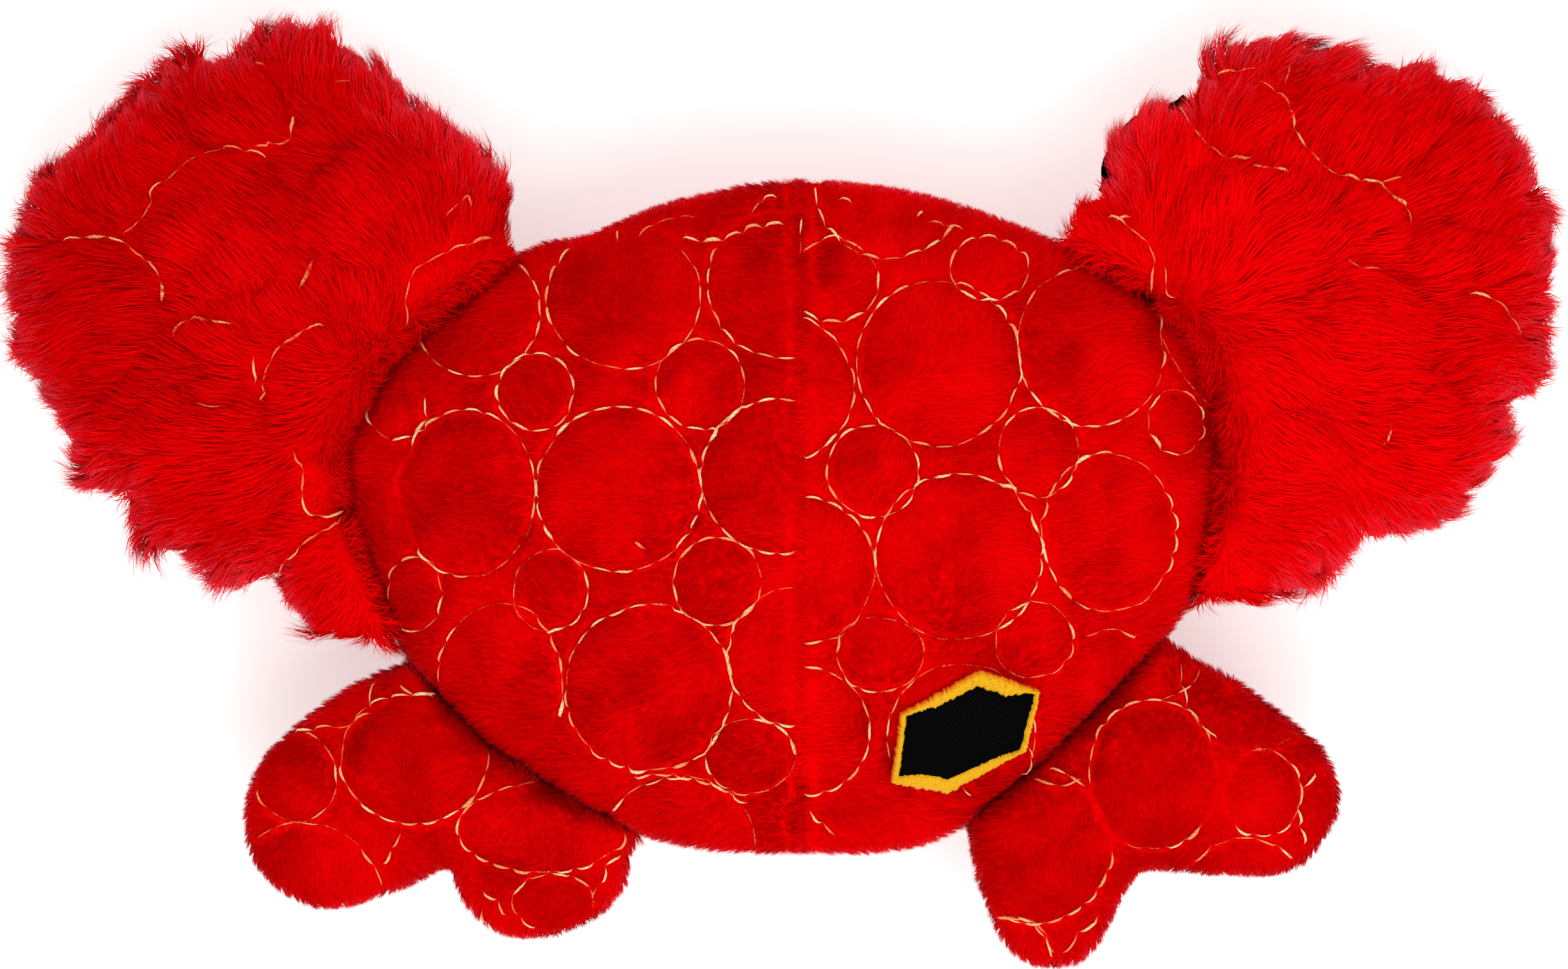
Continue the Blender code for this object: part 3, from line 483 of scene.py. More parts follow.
def rim_distance(points, loop):
    """Shortest distance from each point to the loop."""
    side = np.roll(loop, -1, axis=0) - loop

    def work(some):
        reach = some[:, None] - loop[None]
        share = np.clip((reach * side).sum(2) / (side**2).sum(1), 0, 1)
        return np.linalg.norm(reach - share[..., None] * side, axis=2).min(1)

    return in_chunks(work, points)


def is_inside(points, loop):
    """True for each point inside the loop, by counting crossings to its right."""
    after = np.roll(loop, -1, axis=0)
    rise = after[:, 1] - loop[:, 1]
    rise = np.where(rise == 0, 1e-9, rise)

    def work(some):
        x, y = some[:, None, 0], some[:, None, 1]
        spans = (loop[None, :, 1] > y) != (after[None, :, 1] > y)
        crossing = loop[:, 0] + (y - loop[:, 1]) * (after[:, 0] - loop[:, 0]) / rise
        return (spans & (x < crossing)).sum(1) % 2 == 1

    return in_chunks(work, points).astype(bool)


def inset(loop, distance):
    """The loop moved inwards, without the points that its narrow corners fold over."""
    moved = loop - outward(loop) * distance
    clear = rim_distance(moved, loop) > CLEAR_SHARE * distance
    return moved[clear & is_inside(moved, loop)]


BODY_CURVE = anticlockwise(smooth_curve(BODY_RIM, True))
BADGE_OUTLINE = np.array(BADGE_OUTER) * BADGE_SEEN


def nearer(shapes, share):
    """Circles or arcs moved nearer to the middle of the toy, and made smaller to suit."""
    return [np.array(shape) * share for shape in shapes]


def hem_stretch(hem, ends):
    """The shorter way along the body's skin between two of its points."""
    count = len(hem)
    ahead = (ends[0] - ends[1]) % count
    step = 1 if ahead <= count - ahead else -1
    return np.array([hem[(ends[1] + step * i) % count] for i in range(min(ahead, count - ahead) + 1)])


def limb_loop(edge, pile):
    """A limb's skin outline: its free edge less its pile, closed along the body's skin."""
    hem = BODY_CURVE - outward(BODY_CURVE) * BODY_PILE
    ends = [np.linalg.norm(hem - np.array(point), axis=1).argmin() for point in (edge[0], edge[-1])]
    free = respaced(smooth_curve([hem[ends[0]], *edge[1:-1], hem[ends[1]]], False), RIM_SPACING, False)
    seam = respaced(hem_stretch(hem, ends), RIM_SPACING, False)[1:-1]
    whole = np.vstack([free, seam])
    from_hem = np.minimum(*(np.linalg.norm(whole - free[end], axis=1) for end in (0, -1)))
    depth = pile * np.clip(from_hem / (PILE_FADE * pile), 0, 1)
    depth[len(free):] = 0
    turned_round = anticlockwise(whole) is not whole
    out = outward(whole[::-1])[::-1] if turned_round else outward(whole)
    moved = whole - out * depth[:, None]
    keep = rim_distance(moved, anticlockwise(whole)) > LIMB_CLEAR_SHARE * depth - SLACK
    return anticlockwise(respaced(moved[keep], RIM_SPACING, True))


# Smooth noise

def waves(points, wavelength, seed, count=9):
    """Smooth noise, mostly between -1 and 1, that changes over about one wavelength."""
    random = np.random.default_rng(seed)
    total = np.zeros(len(points))
    for _ in range(count):
        angle, phase = random.uniform(0, 2 * np.pi, 2)
        length = wavelength * random.uniform(0.7, 1.5)
        ahead = points[:, 0] * np.cos(angle) + points[:, 1] * np.sin(angle)
        total += np.sin(2 * np.pi * ahead / length + phase)
    return total / np.sqrt(1.4 * count)


def blended(points, start, parts, seed=0):
    """A value with smooth noise added: the height, wavelength and seed of each part of it."""
    return sum((high * waves(points, length, seed + own) for high, length, own in parts), start)


def fading(distance, reach):
    """1 at no distance, and close to 0 at twice the reach."""
    return np.exp(-((distance / reach) ** 2))


# Heights

def hem_weights(loop):
    """How much each edge of a limb's outline holds its skin down: least along the hem."""
    middles = 0.5 * (loop + np.roll(loop, -1, axis=0))
    away = rim_distance(middles, BODY_CURVE)
    return HEM_PULL + (1 - HEM_PULL) * np.clip((away - BODY_PILE) / HEM_FADE, 0, 1)


def swell(points, loop, weights):
    """A smooth measure of how far inside the loop each point is: 0 at the rim."""
    after = np.roll(loop, -1, axis=0)

    def work(some):
        here = loop[None] - some[:, None]
        there = after[None] - some[:, None]
        near = np.linalg.norm(here, axis=2)
        far = np.linalg.norm(there, axis=2)
        cross = here[..., 0] * there[..., 1] - here[..., 1] * there[..., 0]
        turn = cross / (near * far + (here * there).sum(2))
        return 2 / (weights * (1 / near + 1 / far) * turn).sum(1)

    return in_chunks(work, points)


def line_distance(points, circle):
    """Distance from each point to the line of a quilted circle."""
    x, y, across, along = circle
    reach = np.hypot((points[:, 0] - x) / across, (points[:, 1] - y) / along)
    return np.abs(reach - 1) * 0.5 * (across + along)


def stitch_distance(points, circles, arcs):
    """Distance from each point to the nearest stitched line."""
    nearest = np.full(len(points), FAR)
    for circle in circles:
        nearest = np.minimum(nearest, line_distance(points, circle))
    for arc in arcs:
        nearest = np.minimum(nearest, point_distance(points, smooth_curve(arc, False, 6)))
    return nearest


def valley(distance, width):
    """How deep a stitched valley is at a distance from its line, from 1 down to 0."""
    return np.exp(-(np.sqrt(distance**2 + QUILT_ROUNDING**2) - QUILT_ROUNDING) / width)


def seam_level(points, droop):
    """Height of the seam, which sags away from the body."""
    away = np.hypot(
        (points[:, 0] - BODY_CENTRE[0]) / BODY_RADII[0],
        (points[:, 1] - BODY_CENTRE[1]) / BODY_RADII[1],
    )
    reach = np.clip(away - 1, 0, None) * min(BODY_RADII)
    return SEAM_HEIGHT - droop * (reach / DROOP_REACH) ** 2


# Surfaces

def corner_normals(corners, triangles):
    """Unit normals at the corner points, from the faces round each."""
    a, b, c = (corners[triangles[:, i]] for i in range(3))
    faces = np.cross(b - a, c - a)
    normals = np.zeros_like(corners)
    for axis in range(3):
        weights = np.repeat(faces[:, axis], 3)
        normals[:, axis] = np.bincount(triangles.ravel(), weights, len(corners))
    length = np.linalg.norm(normals, axis=1)
    return normals / np.maximum(length, 1e-12)[:, None]


def plan_triangles(loop, points):
    """Triangles that fill a loop through the points inside it, all turning anticlockwise."""
    corners = np.vstack([loop, points])
    edges = [(i, (i + 1) % len(loop)) for i in range(len(loop))]
    placed, _, faces, *_ = delaunay_2d_cdt([Vector(corner) for corner in corners], edges, [], 0, 1e-6)
    placed = np.array([tuple(corner) for corner in placed])
    faces = np.array([face for face in faces if len(face) == 3])
    a, b, c = (placed[faces[:, i]] for i in range(3))
    area = 0.5 * ((b - a)[:, 0] * (c - a)[:, 1] - (b - a)[:, 1] * (c - a)[:, 0])
    middles = (a + b + c) / 3
    keep = is_inside(middles, loop) & (np.abs(area) > LEAST_TRIANGLE)
    faces = np.where(area[:, None] < 0, faces[:, ::-1], faces)
    return placed, faces[keep]


def spread(loop, spacing, extra=None):
    """Rings by the rim, closer together where the skin is steep, then an even field."""
    depths = [RING_SCALE * ring**2 for ring in range(1, RING_COUNT + 1)]
    depths = [depth for depth in depths if depth < spacing * RING_COUNT]
    points = [inset(loop, depth) for depth in depths]
    low, high = loop.min(0), loop.max(0)
    rows = np.arange(low[1], high[1], spacing * ROW_SHARE)
    columns = np.arange(low[0], high[0], spacing)
    x, y = np.meshgrid(columns, rows)
    x = x + (np.arange(len(rows)) % 2)[:, None] * spacing / 2
    field = np.column_stack([x.ravel(), y.ravel()])
    field = field[is_inside(field, loop)]
    field = field[rim_distance(field, loop) > depths[-1] + LEAST_GAP * spacing]
    if extra is not None:
        field = field[point_distance(field, extra) > LEAST_GAP * spacing]
        points.append(extra)
    return np.vstack([*points, field])


class Surface:
    """A skin: triangles in millimetres, with a normal for each corner point."""

    def __init__(self, plan, heights, triangles, up):
        self.corners = np.column_stack([plan, heights])
        self.triangles = triangles if up else triangles[:, ::-1]
        self.normals = corner_normals(self.corners, self.triangles)

    def part(self, keep):
        """The part of the skin whose triangles are marked, with the same normals."""
        used, places = np.unique(self.triangles[keep], return_inverse=True)
        piece = object.__new__(Surface)
        piece.corners = self.corners[used]
        piece.normals = self.normals[used]
        piece.triangles = places.reshape(-1, 3)
        return piece

    def sample(self, count, random):
        """Even random points on the skin, with their normals."""
        a, b, c = (self.corners[self.triangles[:, i]] for i in range(3))
        areas = np.linalg.norm(np.cross(b - a, c - a), axis=1)
        share = np.cumsum(areas) / areas.sum()
        picked = self.triangles[np.searchsorted(share, random.random(count))]
        first, second = random.random((2, count))
        over = first + second > 1
        first, second = np.where(over, 1 - first, first), np.where(over, 1 - second, second)
        shares = np.column_stack([1 - first - second, first, second])[..., None]
        normals = (self.normals[picked] * shares).sum(1)
        normals /= np.linalg.norm(normals, axis=1)[:, None]
        return (self.corners[picked] * shares).sum(1), normals


class Pillow:
    """One stuffed part and the rules that give its skin."""

    def __init__(self, loop, centre, droop, circles, arcs, depth, weights):
        self.loop = loop
        self.weights = weights
        self.droop = droop
        self.circles = circles
        self.arcs = arcs
        self.depth = depth
        self.most = swell(np.array([centre]), loop, weights)[0]

    def dip(self, plan):
        """How far the quilting pulls the skin in."""
        return self.depth * valley(stitch_distance(plan, self.circles, self.arcs), QUILT_WIDTH)

    def lift(self, plan, rise):
        """Height of the stuffed form over its seam."""
        height = np.zeros(len(plan))
        within = rim_distance(plan, self.loop) > ON_RIM
        swelled = swell(plan[within], self.loop, self.weights) / self.most
        height[within] = rise * np.sqrt(np.clip(swelled, 0, None))
        return height

    def height(self, plan, rise, side, quilted=True):
        """Height of the skin over the floor. Side is 1 for the back and -1 for the front."""
        lift = self.lift(plan, rise)
        if quilted:
            pull = self.dip(plan)
            for high, length, seed in LUMPS:
                pull = pull - high * waves(plan, length, seed)
            lift = lift - pull * np.clip(lift / (CREST_SHARE * rise), 0, 1)
        level = seam_level(plan, self.droop) + side * lift
        return np.maximum(level, FLOOR_GAP + BODY_PILE * 0.5)

    def footing(self, plan, rise, step, quilted=True):
        """Height of the back's skin, and the direction out of it."""
        slopes = [
            (self.height(plan + move, rise, 1, quilted) - self.height(plan - move, rise, 1, quilted))
            / (2 * step) for move in np.diag([step, step])
        ]
        up = np.column_stack([-slopes[0], -slopes[1], np.ones(len(plan))])
        return self.height(plan, rise, 1, quilted), unit(up)

    def skin(self, spacing, rise, side, quilted=True, extra=None):
        plan, faces = plan_triangles(self.loop, spread(self.loop, spacing, extra))
        return Surface(plan, self.height(plan, rise, side, quilted), faces, side > 0)


class Body(Pillow):
    """The body, whose back has two quilted panels that meet at a centre seam."""

    def dip(self, plan):
        left, right = (stitch_distance(plan, circles, []) for circles in self.circles)
        lines = np.minimum(
            np.where(plan[:, 0] < SEAM_X, left, right), stitch_distance(plan, [], self.arcs)
        )
        above = np.clip(plan[:, 1] - SEAM_TOP, 0, None)
        seam = SEAM_DEPTH * valley(np.hypot(plan[:, 0] - SEAM_X, above), SEAM_WIDTH)
        ridge = RIDGE_DEPTH * valley(stitch_distance(plan, [], RIDGES_BACK), SEAM_WIDTH)
        return np.maximum(self.depth * valley(lines, QUILT_WIDTH), np.maximum(seam, ridge))


# Meshes

def make_piece(name, corners, triangles, material, normals=None, layout=None):
    """A mesh object from arrays: corners in millimetres, triangles, and their texture layout."""
    mesh = bpy.data.meshes.new(name)
    mesh.vertices.add(len(corners))
    mesh.vertices.foreach_set("co", (corners * MM).astype(np.float32).ravel())
    mesh.loops.add(triangles.size)
    mesh.loops.foreach_set("vertex_index", triangles.astype(np.int32).ravel())
    mesh.polygons.add(len(triangles))
    mesh.polygons.foreach_set("loop_start", np.arange(0, triangles.size, 3, dtype=np.int32))
    if layout is not None:
        layer = mesh.uv_layers.new(name="OFBake")
        layer.uv.foreach_set("vector", layout[triangles.ravel()].astype(np.float32).ravel())
    mesh.update(calc_edges=True)
    mesh.shade_smooth()
    mesh.materials.append(material)
    if normals is not None:
        mesh.normals_split_custom_set_from_vertices(normals.astype(np.float32))
    thing = bpy.data.objects.new(name, mesh)
    bpy.context.scene.collection.objects.link(thing)
    return thing


def plan_layout(corners):
    """A texture layout seen from above, filling the unit square."""
    low, high = corners[:, :2].min(0), corners[:, :2].max(0)
    return (corners[:, :2] - low) / (high - low)


def skin_piece(name, surface, material, replaced):
    """The skin as an object that stands for its panel in the frame."""
    thing = make_piece(
        name, surface.corners, surface.triangles, material, surface.normals, plan_layout(surface.corners)
    )
    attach(thing, "root")
    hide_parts(*replaced)
    return thing


# Pile

def turned(directions, angles):
    """Plan directions turned anticlockwise, each by its own angle."""
    cos, sin = np.cos(angles), np.sin(angles)
    x, y = directions[:, 0], directions[:, 1]
    return np.column_stack([x * cos - y * sin, x * sin + y * cos])


def clumps(plan, size, seed):
    """The nearest of a jittered grid of tuft centres for each point, and random values for it."""
    cells = 64
    table = np.random.default_rng(seed).random((cells, cells, 6))
    cell = np.floor(plan / size).astype(int)
    nearest = np.full(len(plan), np.inf)
    centre = np.zeros_like(plan)
    values = np.zeros((len(plan), 4))
    for step in product((-1, 0, 1), repeat=2):
        near = cell + step
        row = table[near[:, 0] % cells, near[:, 1] % cells]
        place = (near + row[:, :2]) * size
        gap = np.linalg.norm(plan - place, axis=1)
        closer = gap < nearest
        nearest[closer] = gap[closer]
        centre[closer] = place[closer]
        values[closer] = row[closer, 2:]
    return centre, values


def along_skin(directions, normals):
    """Plan directions laid along the skin at each root."""
    flat = np.column_stack([directions, np.zeros(len(directions))])
    flat -= (flat * normals).sum(1)[:, None] * normals
    return unit(flat)


def above_floor(points):
    """The points, with those under the floor lifted onto it."""
    return np.column_stack([points[:, :2], np.maximum(points[:, 2], FLOOR_GAP)])


def spines(roots, normals, leans, lengths, stands, pile, drift, random):
    """The middle and the tip of each strand. Drift moves the tip, so that the tips of a tuft meet."""
    count = len(roots)
    stand = np.radians(pile.stand + stands + random.normal(0, STAND_SCATTER, count))[:, None]
    bend = np.radians(pile.bend + stands + random.normal(0, BEND_SCATTER, count))[:, None]
    first = np.cos(stand) * leans + np.sin(stand) * normals
    last = np.cos(bend) * leans + np.sin(bend) * normals
    reach = lengths[:, None]
    middle = roots + 0.5 * reach * first + 0.25 * drift
    tip = roots + reach * (0.5 * first + 0.5 * last) + drift
    return above_floor(middle), above_floor(tip)


def strand_arrays(roots, normals, leans, lengths, widths, stands, pile, drift, random):
    """Corners, triangles and shading normals of tapered strands, each in its own plane."""
    blade = BLADES[pile.joints]
    middle, tip = spines(roots, normals, leans, lengths, stands, pile, drift, random)
    side = unit(np.cross(leans, normals) + TWIST * random.normal(0, 1, (len(roots), 1)) * normals)
    half = side * widths[:, None] * 0.5
    low = above_floor(roots - ROOT_DEPTH * normals)
    waist = [middle + MIDDLE_WIDTH * half, middle - MIDDLE_WIDTH * half] if pile.joints == 2 else []
    corners = np.stack([low - half, low + half, *waist, tip], 1)
    firsts = np.arange(len(roots))[:, None, None] * corners.shape[1]
    triangles = (firsts + np.array(blade.triangles)[None]).reshape(-1, 3)
    ahead = unit(tip - roots)
    across = unit(normals - (normals * ahead).sum(1)[:, None] * ahead)
    shading = unit((1 - pile.relief) * normals + pile.relief * across)
    lean_out = EDGE_SHADE * pile.relief * np.array(blade.across)
    shading = shading[:, None] + lean_out[None, :, None] * side[:, None]
    return corners.reshape(-1, 3), triangles, unit(shading.reshape(-1, 3))


def strand_layout(tones, styles, blade):
    """Where each strand's corners lie in the texture layout: a cell for each tone and style."""
    column = np.clip((tones * TONE_COLUMNS).astype(int), 0, TONE_COLUMNS - 1)
    across = np.array(blade.across) * 0.25 + 0.5
    u = (column[:, None] + across[None]) / TONE_COLUMNS
    v = (styles[:, None] + np.array(blade.along)[None]) / STYLE_ROWS
    return np.stack([u, v], 2).reshape(-1, 2)


def tuft_drift(roots, normals, centres, gather):
    """How far each tip moves along the skin towards the middle of its tuft."""
    apart = np.column_stack([roots[:, :2] - centres, np.zeros(len(roots))])
    apart -= (apart * normals).sum(1)[:, None] * normals
    return -apart * gather[:, None]


def grow(name, skin, surface, count, seed, tufts, pile, rules, material):
    """Strands on a skin, as a piece that goes with it. Rules says how they lie at each root."""
    random = np.random.default_rng(seed)
    roots, normals = surface.sample(count, random)
    centres, values = clumps(roots[:, :2], pile.clump, tufts)
    lie = rules(roots[:, :2], centres, values, random)
    roots, normals, centres, values = (row[lie.keep] for row in (roots, normals, centres, values))
    lie = Lie(*(row[lie.keep] for row in lie))
    count = len(roots)
    spin = np.radians(pile.scatter) * (random.normal(0, 0.5, count) + values[:, 0] - 0.5)
    leans = along_skin(turned(lie.lean, spin), normals)
    in_tuft = 0.84 + 0.32 * values[:, 1]
    lengths = pile.length * lie.length * in_tuft * random.uniform(*STRAND_LENGTHS, count)
    widths = pile.width * random.uniform(*STRAND_WIDTHS, count)
    drift = tuft_drift(roots, normals, centres, lie.gather * (0.6 + 0.8 * values[:, 2]))
    corners, triangles, shading = strand_arrays(
        roots, normals, leans, lengths, widths, lie.stand, pile, drift, random
    )
    tone = lie.tone + 0.06 * (values[:, 3] - 0.5) + random.normal(0, pile.speckle, count)
    layout = strand_layout(np.clip(tone, 0, 0.999), lie.style, BLADES[pile.joints])
    thing = make_piece(name, corners, triangles, material, shading, layout)
    thing.parent = skin
    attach(thing, "root")
    return thing


def near_rim(plan, loop):
    """The index of the nearest rim point for each point, and the distance to it."""
    nearest = in_chunks(
        lambda some: np.linalg.norm(some[:, None] - loop[None], axis=2).argmin(1), plan
    )
    return nearest, np.linalg.norm(plan - loop[nearest], axis=1)


def kept_length(plan, lean, reach, arcs):
    """The share of its length that each strand keeps so as to end short of the stitched arcs."""
    kept = np.ones(len(plan))
    close = np.flatnonzero(stitch_distance(plan, [], arcs) < reach + ARC_CLEARANCE)
    for share in (1.0, 0.8, 0.6, 0.4, 0.2):
        place = plan[close] + lean[close] * share * reach
        kept[close[stitch_distance(place, [], arcs) < ARC_CLEARANCE]] = share
    return kept


def nearness(plan, pillow):
    """How each root lies to its limb's rim and to the body."""
    nearest, depth = near_rim(plan, pillow.loop)
    by_body, to_body = near_rim(plan, BODY_CURVE)
    return Near(
        depth, fading(depth, RIM_REACH), fading(to_body, HEM_REACH),
        OVERLAP * fading(to_body, OVERLAP_REACH),
        outward(pillow.loop)[nearest], outward(BODY_CURVE)[by_body],
    )


def fur_lean(centres, reach, near, random):
    """Fur flows out from the wrist, turns outwards at the rim and lies over the body's edge."""
    swirl = blended(centres, 0, FUR_SWIRLS)
    turn_out = (RIM_TURN * near.edge * (1 - near.hem))[:, None] * near.out
    lean = unit(turned(unit(reach), swirl) + turn_out)
    lean = unit((1 - near.over)[:, None] * lean - near.over[:, None] * near.body_out)
    return turned(lean, OVERLAP_SPIN * near.over * random.normal(0, 1, len(reach)))


def fur_length(plan, centres, values, lean, arcs, near, share, random):
    """Fur is longest at the rim and short by the body, and most of it ends short of the arcs."""
    length = share * (1.0 + 0.12 * waves(centres, 22, 12))
    length = length * (1.0 + 0.7 * near.edge * (values[:, 1] - 0.4)) * (1.0 - 0.4 * near.hem)
    cut = kept_length(plan, lean, 0.8 * FUR.length, arcs)
    stray = random.random(len(plan)) < STRAY_SHARE
    flattened = 1.0 - 0.6 * fading(stitch_distance(plan, [], arcs), 1.6)
    return length * (np.where(stray, 1.0, cut * 0.94) * flattened)


def fur_tone(plan, reach, circles, near, brightness):
    """Fur is in soft patches of painted nap sheen, with painted shade in the valleys and away from the
    wrist, and painted light at the rim.
    """
    valleys = valley(stitch_distance(plan, circles, []), FUR_VALLEY_SHADE)
    tone = blended(plan, brightness, FUR_SHEEN_PATCHES) - 0.08 * valleys + 0.2 * near.edge
    # Painted shade: the fur darkens the further it lies from the wrist
    return tone - PAINTED_SHADE_FADE * (np.linalg.norm(reach, axis=1) - FADE_START)


def pink_tips(near, random):
    """Which strands have pink tips, painted pale light at the fringe: most of those at the free rim and
    some further in.
    """
    style = np.zeros(len(near.depth), int)
    for kind, depth, share in PINK_TIPS:
        chosen = (near.hem < FREE_HEM) & (near.depth < depth) & (style == 0)
        style = np.where(chosen & (random.random(len(style)) < share), kind, style)
    return style


def claw_rules(pillow, wrist, share, brightness):
    """How the fur of a claw lies. Share is that of its full length."""

    def rules(plan, centres, values, random):
        near = nearness(plan, pillow)
        reach = plan - np.array(wrist)
        lean = fur_lean(centres, reach, near, random)
        length = fur_length(plan, centres, values, lean, pillow.arcs, near, share, random)
        tone = fur_tone(plan, reach, pillow.circles, near, brightness)
        style = pink_tips(near, random)
        gather = 0.06 + 0.94 * near.edge * (1 - near.hem)
        keep = stitch_distance(plan, [], pillow.arcs) > 0.4
        return Lie(lean, length, tone, style, gather, OVERLAP_STAND * near.over, keep)

    return rules


def no_lines(plan):
    """The distance to the nearest thread on a panel that has none."""
    return np.full(len(plan), FAR)


def plush_rules(pillow, lines, heading, seed, brightness, seam_side=0):
    """The short pile lies in broad swirls, is parted by the thread and closes over the seam. Its tone
    carries painted shade by the thread and painted light over the seam.
    """
    out = outward(pillow.loop)

    def rules(plan, centres, values, random):
        angle = blended(plan, np.radians(heading), PLUSH_SWIRLS, seed)
        flow = np.column_stack([np.cos(angle), np.sin(angle)])
        nearest, depth = near_rim(plan, pillow.loop)
        edge = fading(depth, PLUSH_RIM_REACH)
        by_seam = SEAM_PULL * seam_side * fading(plan[:, 0] - SEAM_X, SEAM_REACH)
        flow[:, 0] -= by_seam
        lean = unit(flow + 1.2 * edge[:, None] * out[nearest])
        gap = lines(plan)
        length = 1.0 - 0.5 * fading(gap, 1.1)
        # The pile's tone carries patches of painted nap sheen
        tone = blended(plan, brightness, PLUSH_SHEEN_PATCHES, seed)
        # Painted shade darkens the pile by the thread, and painted light lifts it over the seam
        tone -= 0.12 * fading(gap, 1.6) - 0.05 * np.abs(by_seam)
        # Some plush strands by the rim get pink tips: painted pale light at the fringe
        style = np.where((depth < 1.6) & (random.random(len(plan)) < 0.5), 1, 0)
        keep = (gap > THREAD_CLEARANCE) & ~is_inside(plan, BADGE_OUTLINE)
        return Lie(lean, length, tone, style, 0.3 + 0.4 * edge, np.zeros(len(plan)), keep)

    return rules


# Thread

def wall_triangles(count, points, closed):
    """Triangles of the wall that joins rings of points, each ring to the next."""
    i, k = np.meshgrid(np.arange(count if closed else count - 1), np.arange(points), indexing="ij")
    j, m = (i + 1) % count, (k + 1) % points
    a, b, c, d = (row.ravel() for row in (i * points + k, j * points + k, j * points + m, i * points + m))
    return np.vstack([np.column_stack([a, b, c]), np.column_stack([a, c, d])])


def tube(centre, up, radius):
    """Rings of corners round a line, with a radius for each of its points."""
    forward = unit(np.gradient(centre, axis=0))
    right = unit(np.cross(forward, up))
    above = np.cross(right, forward)
    angles = np.arange(STITCH_SIDES) * 2 * np.pi / STITCH_SIDES
    ring = np.cos(angles)[None, :, None] * right[:, None] + np.sin(angles)[None, :, None] * above[:, None]
    return (centre[:, None] + radius[:, None, None] * ring).reshape(-1, 3)


def stitch_looks(places, thread, seed, random):
    """The size, height, tone and sideways shift of the stitches. Some are half sunk or buried."""
    count = len(places)
    buried = waves(places, BURIED_LENGTH, seed) > random.uniform(0.3, 1.0, count)
    sunk = buried | (random.random(count) < SUNK_SHARE)
    size = random.uniform(0.65, 1.15, count) + 0.5 * (random.random(count) < THICK_SHARE)
    size *= np.where(sunk, SUNK_SIZE, 1.0)
    top = random.uniform(0.85, 1.15, count) * np.where(sunk, SUNK_HEIGHT, 1.0) - BURIED_DROP * buried
    tone = np.where(sunk, random.integers(0, 2, count), random.integers(*thread.tones, count))
    return size, top, tone, random.normal(0, THREAD_SWAY, count)


def stitched_line(path, closed, level, thread, seed, random):
    """One run of stitches along a plan path, as corners, triangles and texture layout."""
    loop = np.vstack([path, path[0]]) if closed else path
    along = np.concatenate([[0], np.cumsum(np.linalg.norm(np.diff(loop, axis=0), axis=1))])
    count = max(1, round(along[-1] / STITCH_PITCH))
    stitch = np.repeat(np.arange(count), len(STITCH_PLACES))
    places = (stitch + np.tile(STITCH_PLACES, count)) / count * along[-1]
    middle = np.column_stack([np.interp(places, along, loop[:, axis]) for axis in (0, 1)])
    size, top, tone, sway = stitch_looks(middle[::len(STITCH_PLACES)], thread, seed, random)
    rise = np.tile(STITCH_RISE, count)
    ahead = unit(np.gradient(middle, axis=0))
    shift = sway[stitch] * rise + THREAD_WANDER * waves(middle, WANDER_LENGTH, seed)
    middle = middle + np.column_stack([ahead[:, 1], -ahead[:, 0]]) * shift[:, None]
    height, up = level(middle)
    lift = thread.low + (thread.high - thread.low) * rise * top[stitch]
    centre = np.column_stack([middle, height]) + up * lift[:, None]
    corners = tube(centre, up, thread.radius * size[stitch] * np.tile(STITCH_THICKNESS, count))
    around = np.tile((np.arange(STITCH_SIDES) + 0.5) / STITCH_SIDES, len(centre))
    u = (np.repeat(tone[stitch], STITCH_SIDES) + around) / THREAD_TONES
    v = np.repeat(np.tile(STITCH_PLACES, count) * 0.9 + 0.05, STITCH_SIDES)
    return corners, wall_triangles(len(centre), STITCH_SIDES, closed), np.column_stack([u, v])


def circle_path(circle):
    x, y, across, along = circle
    angles = np.linspace(0, 2 * np.pi, CIRCLE_POINTS, endpoint=False)
    return np.column_stack([x + across * np.cos(angles), y + along * np.sin(angles)])


def is_sunk(path, places):
    """True for each point in a place where the thread is out of sight."""
    gaps = [np.hypot(path[:, 0] - x, path[:, 1] - y) - radius for x, y, radius in places]
    return np.min(gaps, axis=0) < 0


def visible_runs(path, inside):
    """The stretches of a closed path that are marked inside, and whether each is closed."""
    if inside.all():
        return [(path, True)]
    if not inside.any():
        return []
    start = int(np.argmin(inside))
    path, inside = np.roll(path, -start, axis=0), np.roll(inside, -start)
    runs, run = [], []
    for point, shown in zip(path, inside):
        if shown:
            run.append(point)
        elif run:
            runs.append(run)
            run = []
    if run:
        runs.append(run)
    return [(np.array(run), False) for run in runs if len(run) >= LEAST_RUN]


def joined(parts):
    """Several meshes as one: corners, triangles and texture layout."""
    corners, triangles, layouts = zip(*parts)
    firsts = np.cumsum([0, *(len(points) for points in corners[:-1])])
    triangles = [faces + first for faces, first in zip(triangles, firsts)]
    return np.vstack(corners), np.vstack(triangles), np.vstack(layouts)


def thread_piece(name, skin, pillow, rise, thread, circles, arcs, shown, material, seed):
    """All the quilting thread of one panel."""
    random = np.random.default_rng(seed)

    def level(plan):
        return pillow.footing(plan, rise, THREAD_STEP)

    runs = []
    for circle in circles:
        path = circle_path(circle)
        runs += visible_runs(path, shown(path))
    runs += [(respaced(smooth_curve(arc, False), ARC_SPACING, False), False) for arc in arcs]
    corners, triangles, layout = joined([
        stitched_line(path, closed, level, thread, seed, random) for path, closed in runs
    ])
    thing = make_piece(name, corners, triangles, material, None, layout)
    thing.parent = skin
    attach(thing, "root")
    return thing


# Materials

BLACK, WHITE = (0.0, 0.0, 0.0), (1.0, 1.0, 1.0)
